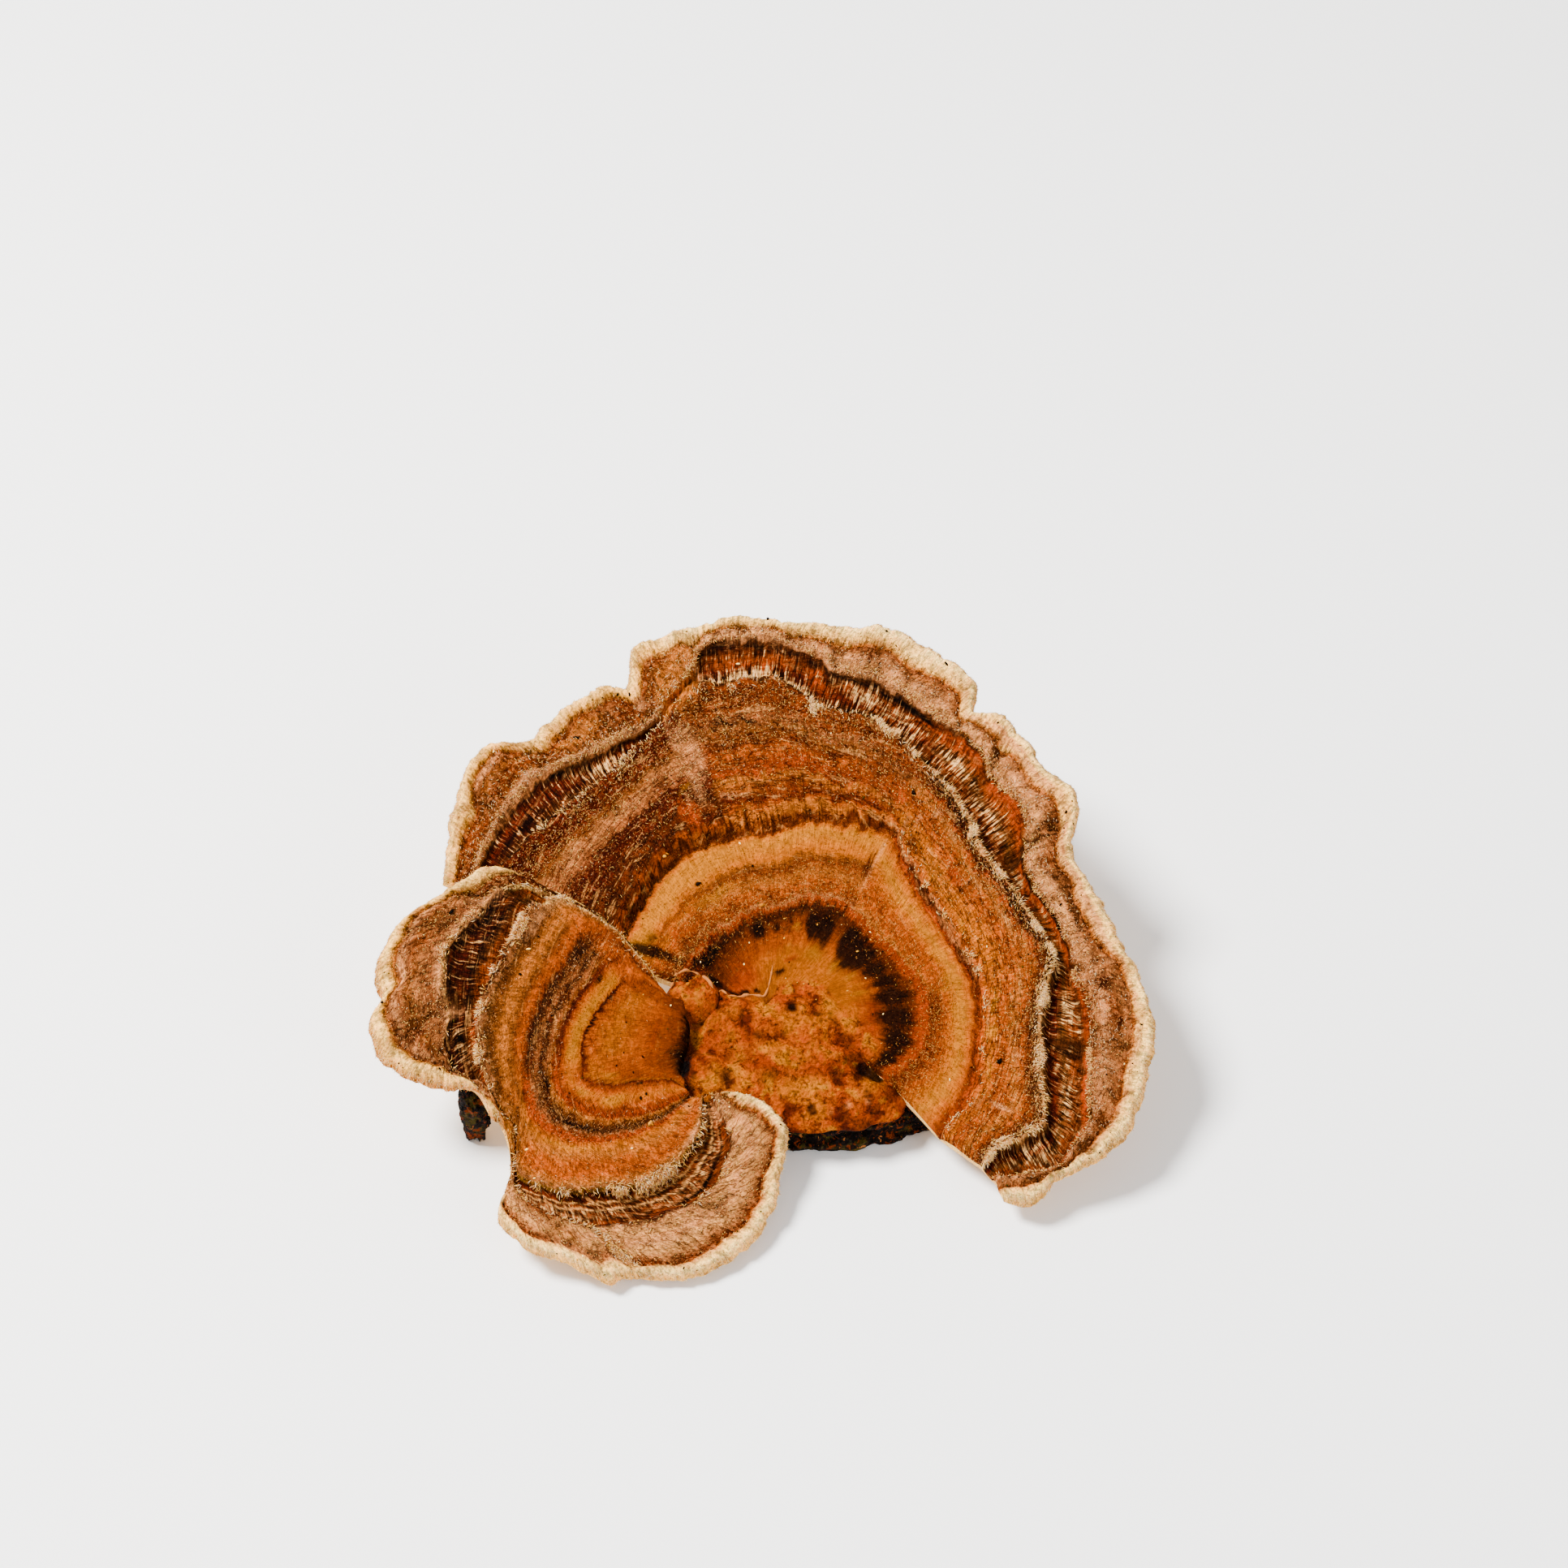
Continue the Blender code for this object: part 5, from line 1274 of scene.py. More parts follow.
def bands(value, pairs, last):
    """A colour ramp over a value that runs from 0 to last, with an ink at each place of the pairs."""
    node = add(value.tree, "ShaderNodeValToRGB", {"Fac": value / float(last)})
    ramp = node.color_ramp
    while len(ramp.elements) > 1:
        ramp.elements.remove(ramp.elements[-1])
    ramp.elements[0].position = pairs[0][0] / last
    ramp.elements[0].color = ink(pairs[0][1])
    for place, name in pairs[1:]:
        ramp.elements.new(place / last).color = ink(name)
    return Wire(node, "Color")


def new_group(name, inputs, outputs):
    """A group's tree, its inputs by name and its outputs. A default of None makes a vector input."""
    tree = bpy.data.node_groups.new(name, "ShaderNodeTree")
    for label, default in inputs.items():
        kind = "NodeSocketVector" if default is None else "NodeSocketFloat"
        socket = tree.interface.new_socket(label, in_out="INPUT", socket_type=kind)
        if default is not None:
            socket.default_value = default
    for label in outputs:
        tree.interface.new_socket(label, in_out="OUTPUT", socket_type="NodeSocketFloat")
    given = tree.nodes.new("NodeGroupInput")
    return tree, {label: Wire(given, label) for label in inputs}, tree.nodes.new("NodeGroupOutput").inputs


# Noise that follows the growth: (mm across, mm along, detail, roughness, distortion), then thin lines where
# such a noise is near its middle: (mm across, mm along, half-width)
FIBRES = {
    "Strand": (0.34, 2.2, 3.0, 0.6, 0.0),
    "Bar": (0.3, 3.0, 2.0, 0.75, 0.2),
    "Lying": (0.42, 0.2, 3.0, 0.7, 0.9),
    "Layer": (5.0, 0.62, 4.0, 0.6, 0.5),
    "Patch": (3.2, 2.2, 3.0, 0.6, 0.4),
}
THIN_LINES = {"Seam": (7.0, 1.1, 0.03), "Wrinkle": (1.7, 3.2, 0.028)}
# Noise that is the same all ways: (cells to a metre, detail, roughness, distortion)
FELT = {
    "Blotch": (330.0, 5.0, 0.6, 0.0),
    "Grain": (2400.0, 3.0, 0.7, 0.0),
    "Fleck": (1100.0, 4.0, 0.65, 0.6),
    "Cloud": (170.0, 3.0, 0.5, 0.4),
}


def fibre_group(name):
    """Strands along the growth, bars of old fibre, hairs that lie across, layers, patches and thin lines."""
    tree, given, out = new_group(name, {"Across": 0.0, "Along": 0.0}, [*FIBRES, *THIN_LINES])

    def stretched(wide, long):
        place = {"X": given["Across"] / wide, "Y": given["Along"] / long}
        return Wire(add(tree, "ShaderNodeCombineXYZ", place))

    for label, (wide, long, *kind) in FIBRES.items():
        plug(noise(stretched(wide, long), 1.0, *kind), out[label])
    for label, (wide, long, half_width) in THIN_LINES.items():
        far = abs(noise(stretched(wide, long), 1.0, 4.0, 0.55, 0.3) - 0.5)
        plug(far.between(half_width, 0.0), out[label])
    return tree


def felt_group(name):
    """Blotches, grain, fine flecks and wide clouds."""
    tree, given, out = new_group(name, {"Place": None}, FELT)
    for label, kind in FELT.items():
        plug(noise(given["Place"], *kind), out[label])
    return tree


def ragged_group(name):
    """A soft mask given a ragged edge."""
    tree, given, out = new_group(name, {"Mask": 0.0, "Noise": 0.5, "Ragged": 0.5, "Soft": 0.16}, ["Mask"])
    swung = given["Mask"] + (given["Noise"] - 0.5) * given["Ragged"]
    plug(swung.between(0.46 - given["Soft"], given["Soft"] + 0.46), out["Mask"])
    return tree


GROUP_MAKERS = {"Fibres": fibre_group, "Felt": felt_group, "Ragged mask": ragged_group}


def grouped(tree, name, values):
    """The outputs by name of a shared node group that is put into this tree."""
    group = bpy.data.node_groups.get(name) or GROUP_MAKERS[name](name)
    node = add(tree, "ShaderNodeGroup", node_tree=group)
    for key, value in values.items():
        plug(value, node.inputs[key])
    return {socket.name: Wire(node, socket.name) for socket in node.outputs}


def ragged(mask, broken_by, how_ragged, soft):
    values = {"Mask": mask, "Noise": broken_by, "Ragged": how_ragged, "Soft": soft}
    return grouped(mask.tree, "Ragged mask", values)["Mask"]


def new_material(name):
    made = bpy.data.materials.new(name)
    made.use_nodes = True
    tree = made.node_tree
    return made, tree, tree.nodes["Principled BSDF"].inputs


def object_place(tree):
    return Wire(add(tree, "ShaderNodeTexCoord"), "Object")


def bumped(height, distance, strength=1.0):
    values = {"Height": height, "Distance": distance, "Strength": strength}
    return Wire(add(height.tree, "ShaderNodeBump", values))


# ---- materials
def tissue_material(name, plan):
    """The banded upper face, with its layers, marks, bars of old fibre, felt and fine hair."""
    made, tree, shader = new_material(name)
    fibres = grouped(tree, "Fibres", {"Across": mark(tree, "across"), "Along": mark(tree, "along")})
    felt = grouped(tree, "Felt", {"Place": object_place(tree)})
    strand, bar, lying, layer, patch, seam, wrinkle = fibres.values()
    blotch, grain, fleck, cloud = felt.values()
    hub, wet, velvet, layered, barred = (
        mark(tree, label) for label in ("hub", "wet", "velvet", "layered", "barred")
    )
    off_hub = 1.0 - hub
    strand = (strand - 0.5) * off_hub + 0.5
    growth = mark(tree, "growth") + ((strand - 0.5) * 0.035 + (patch - 0.5) * 0.26)
    last = len(plan.rows)

    # bands, with those of each side passing into those of the next
    outside = growth.between(plan.split - 0.02, plan.split + 0.02)
    sides = [mixed(outside, *(bands(growth, pairs, last) for pairs in side)) for side in plan.sides]
    colour = sides[0]
    for change, side in zip(plan.changes, sides[1:]):
        colour = mixed(mark(tree, change), colour, side)

    # layers and seams within the bands, creases on the pads
    on_pads = growth.between(last - 2.05, last - 1.9) * growth.between(last - 0.7, last - 0.95)
    creases = wrinkle * on_pads
    colour = coated(
        colour,
        (patch.between(0.5, 0.68) * layered * 0.5, "rust"),
        (layer.between(0.57, 0.64) * layered * 0.75, "ox red"),
        (layer.between(0.42, 0.36) * layered * 0.4, "pale tan"),
        (seam * layered * 0.85, "maroon"),
        (creases * 0.7, "red brown"),
    )

    # the blotchy hub
    hub_colour = mixed(cloud.between(0.38, 0.44), "rust", "vermilion")
    hub_colour = coated(
        hub_colour,
        (cloud.between(0.44, 0.51), "orange"),
        (cloud.between(0.53, 0.6) * 0.95, "amber"),
        (blotch.between(0.465, 0.37) * 0.85, "ox red"),
        (blotch.between(0.53, 0.62) * 0.75, "gold"),
        (fleck.between(0.44, 0.36) * 0.7, "red brown"),
        (grain.between(0.39, 0.31) * 0.65, "dark brown"),
    )
    colour = mixed(ragged(hub, blotch, 0.9, 0.3), colour, hub_colour)

    # marks at chosen places; dark ones are partly painted shadow
    swings = {"Strand": strand, "Lying": lying, "Fleck": fleck}
    for label, (shade, swing, how_ragged, soft, most) in MARK_LOOKS.items():
        share = ragged(mark(tree, label), swings[swing], how_ragged, soft) * most
        colour = mixed(share, colour, shade)

    # bars of old straw-coloured fibre in the groove, and painted shade in the gaps between them
    broken = bar + (mark(tree, "straw") - 0.3) * 0.2 + (layer - 0.5) * 0.45
    bars = broken.between(0.58, 0.63) * barred
    colour = coated(
        colour,
        (broken.between(0.52, 0.58) * barred * 0.75, "tan"),
        (bars * 0.9, "straw"),
        (bar.between(0.46, 0.4) * barred * 0.85, "black"),
        # painted shade in the clefts between the pads
        (mark(tree, "cleft") * 0.85, "brown"),
    )

    # mottled felt on the pads, streaks along the pale rim
    felted = growth.between(last - 2.0, last - 1.7)
    rim = growth.between(last - 0.92, last - 0.8)
    colour = coated(
        colour,
        (felted * fleck.between(0.52, 0.62) * 0.45, "tan"),
        (felted * blotch.between(0.46, 0.38) * 0.4, "pink brown"),
        (strand.between(0.5, 0.62) * rim * 0.6, "pale tan"),
        (patch.between(0.52, 0.64) * rim * 0.6, "honey"),
    )

    # fine hairs that lie across, light on dark
    lighter = mixed(growth.between(1.7, 2.7, 0.28, 0.48), colour, "pink")
    colour = mixed(lying.between(0.56, 0.66) * velvet * 0.9, colour, lighter)
    darker = mixed(0.6, colour, "maroon")
    colour = mixed(lying.between(0.46, 0.36) * velvet * 0.7, colour, darker)

    # light and dark, more even where the face is wet and darker in the hub
    shade = (strand * 0.6 + grain * 0.5 + fleck * 0.5).between(0.66, 0.94, 0.34, 1.52)
    shade = shade * blotch.between(0.38, 0.62, 0.74, 1.22)
    evenness = wet * off_hub.between(0.0, 1.0, 0.15, 0.6)
    shade = (shade - 1.0) * (1.0 - evenness) + 1.0
    deep = hub.or_more(growth.between(1.0, 0.85))
    shade = shade * (1.0 - deep * 0.27) * growth.between(last - 3.2, last - 2.9, 1.08, 1.0)
    plug(shaded(colour, shade), shader["Base Color"])

    height = strand * (rim + 0.7) + grain * 0.5 + lying * velvet + bars * 0.8 - (creases + seam * layered)
    height = height + (blotch + fleck) * hub * 1.7 + layer * layered * 1.5
    plug(bumped(height, settings().bump_depth, 0.9), shader["Normal"])
    plug((wet + (blotch - 0.5) * 0.6).between(0.1, 1.0, 0.85, 0.3), shader["Roughness"])
    plug(0.015, shader["Specular IOR Level"])
    return made


def pore_material(name):
    """The cream underside, closely set with pores."""
    made, tree, shader = new_material(name)
    place = object_place(tree)
    pores = Wire(add(tree, "ShaderNodeTexVoronoi", {"Vector": place, "Scale": 3600.0}), "Distance")
    colour = mixed(noise(place, 150.0, 4.0).between(0.35, 0.7), "cream", "pale tan")
    # painted shade: darker towards the middle of each pore
    plug(mixed(pores.between(0.12, 0.34, 0.55, 0.0), colour, "velvet"), shader["Base Color"])
    plug(bumped(pores, 0.0003, 0.8), shader["Normal"])
    plug(0.85, shader["Roughness"])
    return made


def hair_material(name):
    """Each hair's tone lies along the map's u and its root to tip along v; painted shade darkens it towards
    the root.
    """
    made, tree, shader = new_material(name)
    uv = Wire(add(tree, "ShaderNodeUVMap", uv_map="OFBake"), "UV")
    parts = add(tree, "ShaderNodeSeparateXYZ", {"Vector": uv})
    along = (Wire(parts, "X") - TONE_START) / TONE_SPAN
    colour = bands(along, list(zip(tone(*TONES), TONES)), 1)
    # painted shade: each hair darker towards its root
    plug(shaded(colour, Wire(parts, "Y").between(0.0, 0.7, 0.62, 1.0)), shader["Base Color"])
    plug(0.6, shader["Roughness"])
    plug(0.02, shader["Specular IOR Level"])
    return made


def bark_material(name):
    """Dark, partly mossy bark with orange-brown flakes, and the pale wood of its cut."""
    made, tree, shader = new_material(name)
    place = object_place(tree)
    coarse = noise(place, 420.0, 5.0, 0.65)
    fine = noise(place, 1900.0, 3.0, 0.6)
    flakes = noise(place, 760.0, 3.0, 0.7, 0.8)
    waves = {"Vector": place, "Scale": 260.0, "Distortion": 3.0, "Detail": 3.0}
    wood = mixed(Wire(add(tree, "ShaderNodeTexWave", waves), "Fac"), "tan", "velvet")
    colour = mixed(coarse.between(0.38, 0.62), "black", "soot")
    colour = coated(
        colour,
        (fine.between(0.54, 0.66), "dark brown"),
        (coarse.between(0.52, 0.62), "olive"),
        (flakes.between(0.57, 0.62), "rust"),
        (flakes.between(0.36, 0.32), "tan"),
        (mark(tree, "cut"), wood),
    )
    plug(colour, shader["Base Color"])
    plug(bumped(coarse + fine, 0.0008), shader["Normal"])
    plug(0.8, shader["Roughness"])
    plug(0.05, shader["Specular IOR Level"])
    return made


def floor_material(name):
    made, tree, shader = new_material(name)
    plug((*settings().floor_colour, 1), shader["Base Color"])
    plug(0.9, shader["Roughness"])
    return made


MATERIAL_MAKERS = {
    "main_tissue": lambda name: tissue_material(name, MAIN),
    "side_tissue": lambda name: tissue_material(name, SIDE),
    "pore_surface": pore_material,
    "fungus_hair": hair_material,
    "dark_bark": bark_material,
    "studio_floor": floor_material,
}


def material(name):
    return bpy.data.materials.get(name) or MATERIAL_MAKERS[name](name)


# ---- settings
class FUNGUS_PG_settings(bpy.types.PropertyGroup):
    """What a user would change"""

    hairiness: bpy.props.FloatProperty(
        name="Hairiness", description="Share of the hairs that are grown", default=1.0, min=0.05, max=1.0,
        subtype="FACTOR",
    )
    bump_depth: bpy.props.FloatProperty(
        name="Bump depth", description="Depth of the finest relief of the fans", default=0.0004, min=0.0,
        max=0.002, precision=5, unit="LENGTH",
    )
    dust_and_glints_main: bpy.props.IntProperty(
        name="Dust and glints on the large fan", description="Number of loose specks on the large fan", default=190,
        min=1, max=400,
    )
    dust_and_glints_side: bpy.props.IntProperty(
        name="Dust and glints on the second fan", description="Number of loose specks on the second fan", default=110,
        min=1, max=400,
    )
    moss: bpy.props.IntProperty(
        name="Moss", description="Number of moss threads on the bark", default=6500, min=1, max=8000
    )
    floor_colour: bpy.props.FloatVectorProperty(
        name="Floor", description="Colour of the studio floor", default=(0.95, 0.95, 0.95), min=0.0, max=1.0,
        size=3, subtype="COLOR",
    )
    sky_strength: bpy.props.FloatProperty(
        name="Sky strength", description="Strength of the even light from all sides", default=0.9, min=0.0,
        max=3.0,
    )
    key_power: bpy.props.FloatProperty(
        name="Key light", description="Power of the soft key light", default=25.5, min=0.0, max=100.0,
        unit="POWER",
    )
    fill_power: bpy.props.FloatProperty(
        name="Fill light", description="Power of the soft fill light", default=4.0, min=0.0, max=100.0,
        unit="POWER",
    )
    camera_elevation: bpy.props.FloatProperty(
        name="Camera elevation", description="Angle of the camera above the floor", default=math.radians(50),
        min=0.0, max=math.radians(89), subtype="ANGLE", unit="ROTATION",
    )
    camera_distance: bpy.props.FloatProperty(
        name="Camera distance", description="Distance of the camera from what it looks at", default=0.477,
        min=0.1, max=5.0, unit="LENGTH",
    )


def settings():
    return bpy.context.scene.fungus


# ---- fans
class FUNGUS_OT_main_fan(bpy.types.Operator):
    """Build the large fan's sheet"""

    bl_idname = "fungus.main_fan"
    bl_label = "Large fan"

    def execute(self, context):
        obj = fan_piece("large_fan", MAIN_FAN)
        settle(obj, ["main_tissue", "pore_surface"], "banded_tissue", "main_cap")
        return {"FINISHED"}


class FUNGUS_OT_side_fan(bpy.types.Operator):
    """Build the second fan's sheet"""

    bl_idname = "fungus.side_fan"
    bl_label = "Second fan"

    def execute(self, context):
        obj = fan_piece("second_fan", SIDE_FAN)
        settle(obj, ["side_tissue", "pore_surface"], "banded_tissue", "side_cap")
        return {"FINISHED"}


# ---- hub
LIP_SIDES = 10
LIP_STEPS = 30  # for each point of its line
LIP_THICKNESS = (0.16, 0.14)  # mean and unevenness
LIP_FLATTENING = 7  # steps to either side that a lip's height is averaged over
LIP_INKS = ("tan", "pink brown", "pale tan", "tan")
HUB_STORED = {"hub": 1, "wet": 1, "velvet": 0.15, "layered": 0, "across": 0, "along": 0}


def hub_piece(obj, x, y):
    """Stores what the tissue's material reads on a piece of the hub, and settles the piece."""
    for name in MARKS:
        store(obj.data, name, plan_spots(x, y, HUB_MARKS.get(name, [])))
    for name, value in HUB_STORED.items():
        store(obj.data, name, np.full(len(x), float(value)))
    bpy.ops.object.shade_smooth()
    settle(obj, ["main_tissue"], "banded_tissue")


def hub_mound():
    obj, form = ball("hub_mound", bpy.ops.mesh.primitive_uv_sphere_add, segments=180, ring_count=90)
    ring = np.minimum(np.hypot(form[:, 0], form[:, 1]), 1)
    bearing = np.arctan2(form[:, 1], form[:, 0])
    reach = eased(HUB_OUTLINE, np.degrees(bearing)) * ring
    x = HUB_MIDDLE[0] + reach * np.cos(bearing)
    y = HUB_MIDDLE[1] + reach * np.sin(bearing)
    top, waist = hub_heights(x, y, ring)
    foot = BARK_TOP + JOIN_GAP
    body = np.sqrt(np.maximum(0, 1 - ring**4))
    above, below = waist + (top - waist) * body, waist - (waist - foot) * np.minimum(1, 2 * body)
    reshape(obj, np.column_stack([x, y, np.where(form[:, 2] > 0, above, below)]))
    hub_piece(obj, x, y)


def hub_lobe():
    obj, form = ball("hub_lobe", bpy.ops.mesh.primitive_uv_sphere_add, segments=64, ring_count=32)
    x, y, z = (form * HUB_LOBE_RADII + HUB_LOBE).T
    z = z + HUB_LEAN[2] * (y - HUB_LOBE[1]) + rippled(x, y, LOBE_LUMPS)
    reshape(obj, np.column_stack([x, y, z]))
    hub_piece(obj, x, y)


def lobe_level(x, y):
    across, back = (x - HUB_LOBE[0]) / HUB_LOBE_RADII[0], (y - HUB_LOBE[1]) / HUB_LOBE_RADII[1]
    dome = np.sqrt(np.maximum(0.08, 1 - across**2 - back**2))
    return HUB_LOBE[2] + HUB_LOBE_RADII[2] * dome + HUB_LEAN[2] * (y - HUB_LOBE[1])


def tube(count, sides):
    """The corners of a closed tube's faces, and each face's number of sides; its end points come last."""
    rows, steps = np.arange(count - 1)[:, None] * sides, np.arange(sides)
    follow = (steps + 1) % sides
    ring = (steps, follow, follow + sides, steps + sides)
    quads = np.stack([rows + step for step in ring], axis=2).reshape(-1)
    first, last, end = count * sides, count * sides + 1, (count - 1) * sides
    near_cap = np.stack([follow, steps, np.full(sides, first)], axis=1)
    far_cap = np.stack([steps + end, follow + end, np.full(sides, last)], axis=1)
    corners = np.concatenate([quads, near_cap.ravel(), far_cap.ravel()])
    return corners, [4] * (sides * (count - 1)) + [3] * (2 * sides)


def lips():
    """Pale curled lips as tapered tubes on the hub's back edge; the first lies over the lobe."""
    upper = MAIN_FAN.points[: MAIN_FAN.top_rows].reshape(-1, 3)
    around = np.linspace(0, 2 * np.pi, LIP_SIDES, endpoint=False)
    for number, line in enumerate(HUB_LIPS):
        count = LIP_STEPS * len(line)
        shares = np.linspace(0, 1, count)
        x, y = line_places(line, shares).T
        nearest = ((x[:, None] - upper[:, 0]) ** 2 + (y[:, None] - upper[:, 1]) ** 2).argmin(axis=1)
        z = np.maximum(upper[nearest, 2], hub_level(x, y))
        if number == 0:
            z = np.maximum(z, lobe_level(x, y))
        window = 2 * LIP_FLATTENING - 1
        z = np.convolve(np.pad(z, LIP_FLATTENING - 1, mode="edge"), np.ones(window) / window, mode="valid")
        mean, uneven = LIP_THICKNESS
        thick = (mean + uneven * ripples(shares * len(line) * 3, 0 * shares, 71 + number)).clip(0.03)
        thick = thick * np.clip(np.minimum(shares, 1 - shares) * 12, 0.15, 1)
        run = unit(np.column_stack([np.gradient(x), np.gradient(y), 0 * x]))
        side = np.column_stack([-run[:, 1], run[:, 0], 0 * x])
        ring = side[:, None] * np.cos(around)[:, None] + np.array([0, 0, 1.3]) * np.sin(around)[:, None]
        middle = np.column_stack([x, y, z + 0.03])
        places = (middle[:, None] + ring * thick[:, None, None]).reshape(-1, 3)
        corners, sides = tube(count, LIP_SIDES)
        obj = array_mesh(f"hub_lip_{number + 1}", np.concatenate([places, middle[[0, -1]]]), corners, sides)
        map_tones(obj, tone(*LIP_INKS)[corners // LIP_SIDES % len(LIP_INKS)], 0, 0.6)
        obj.data.shade_smooth()
        settle(obj, ["fungus_hair"], "banded_tissue")


class FUNGUS_OT_hub(bpy.types.Operator):
    """Build the knobbly hub between the fans"""

    bl_idname = "fungus.hub"
    bl_label = "Hub"

    def execute(self, context):
        hub_mound()
        hub_lobe()
        lips()
        return {"FINISHED"}


# ---- hair on the fans
# How thick the hair stands, as (growth, density), and how much of it is pale, as (growth, share)
INNER_HAIR = [
    (0.45, 0), (0.75, 0.6), (1.05, 1.3), (1.4, 1.1), (1.6, 0.3), (1.9, 0.3), (1.98, 0.6), (2, 0),
]
OUTER_HAIR = [(2.03, 0), (2.1, 0.7), (2.4, 1), (2.8, 1.3), (2.95, 1.2), (3, 0)]
FELT_HAIR = [
    (3.95, 0), (4.03, 2), (4.15, 1.2), (4.5, 0.8), (5, 0.5), (5.2, 0.3), (5.8, 0.2), (6, 0.05),
]
MAIN_FROST = [
    (0.5, 0.08), (0.9, 0.15), (1.05, 0.45), (1.3, 0.35), (1.55, 0.1), (2.05, 0.12), (2.3, 0.24), (2.6, 0.32),
    (2.95, 0.45), (4, 0.55), (4.3, 0.3), (5, 0.25), (6, 0.6),
]
SIDE_HAIR = [
    (0.8, 0.2), (1.2, 0.5), (1.8, 0.5), (2.1, 1), (2.6, 1.3), (3, 0.7), (3.5, 0.8), (3.95, 1.3), (4.05, 0),
]
SIDE_FELT_HAIR = [(5, 0), (5.08, 1.6), (5.4, 1.2), (6, 0.8), (6.5, 0.3), (7, 0.05)]
SIDE_FROST = [
    (0.8, 0.06), (1.8, 0.1), (2.15, 0.3), (2.7, 0.35), (3, 0.12), (3.6, 0.2), (4, 0.35), (5.1, 0.4),
    (6, 0.35), (7, 0.6),
]
ALL_PALE = EVEN = [(0, 1), (7, 1)]
# How woolly the crest is: (place across, share)
MAIN_WOOL = [
    (-45, 1.2), (-30, 1.3), (-10, 1.2), (2, 1.4), (12, 0.7), (20, 0.9), (30, 0.5), (40, 1.1), (50, 1),
    (60, 0.3), (75, 0.3), (92, 0.4), (112, 0.4), (120, 0.1), (165, 0.05),
]
SIDE_WOOL = [
    (0, 0.6), (8, 1.5), (18, 1.1), (26, 0.3), (45, 0.03), (55, 0.7), (64, 0.6), (72, 1.2), (80, 1),
    (86, 0.2), (100, 0.05),
]
# How hairs lean outwards, across and up, as (mean, spread) of each, and how wide they are
LYING = ((0.5, 0.8), (0, 1.1), (0.35, 0.2))
FUZZY = ((0.9, 0.3), (0, 0.5), (0.25, 0.25))
FINE, FUZZ, COARSE = (0.055, 0.085), (0.055, 0.09), (0.06, 0.1)
RIM_INKS = ("milk", "cream", "frost", "pink")


def tufted(at, per_unit, seed):
    """Uneven growth across, in tufts."""
    return 0.06 + 0.94 * smooth_step(-0.1, 0.7, ripples(at * per_unit, 0 * at, seed)) ** 1.5


def zone_density(pairs, start=-9, end=9):
    """How thick the hair stands between two growths."""
    return lambda at, growth: eased(pairs, growth) * (growth > start) * (growth < end)


def fringe_density(at, growth):
    """Tufts along the inner edge of the pads."""
    return tufted(at, 0.4, 62) * near(growth, 4.04, 0.04)


def crest_density(at, growth):
    """Wool along the crest, and a little on the ledge at the front."""
    crest = near(growth, 2.985 + 0.05 * ripples(at * 0.3, 0 * at, 65), 0.045)
    ledge = 0.12 * near(growth, 2.06, 0.03) * (at < 60)
    return eased(MAIN_WOOL, at) * tufted(at, 0.45, 61) * (crest + ledge)


def second_wool_density(at, growth):
    """Wool along the second fan's ledge, a tuft at its torn notch and a thin line at the groove."""
    ledge = eased(SIDE_WOOL, at) * tufted(at, 0.5, 63) * near(growth, 3.97, 0.06)
    notch = 1.5 * near(at, 28.3, 0.6) * near(growth, 5.8, 0.4)
    return ledge + notch + 0.3 * tufted(at, 0.8, 66) * near(growth, 5.06, 0.05)


def coat(name, fan, count, seed, density, lean, length, width, frost, pale, bow=None):
    """One kind of hair on a fan, as one piece."""
    roots = Roots(fan, max(1, round(count * settings().hairiness)), density, seed)
    way = roots.leaning(*lean)
    bent = None if bow is None else roots.bowed(bow)
    tones = roots.banded_tones(frost, pale)
    strands(name, roots, way, roots.uniform(*length), roots.uniform(*width), tones, bent)


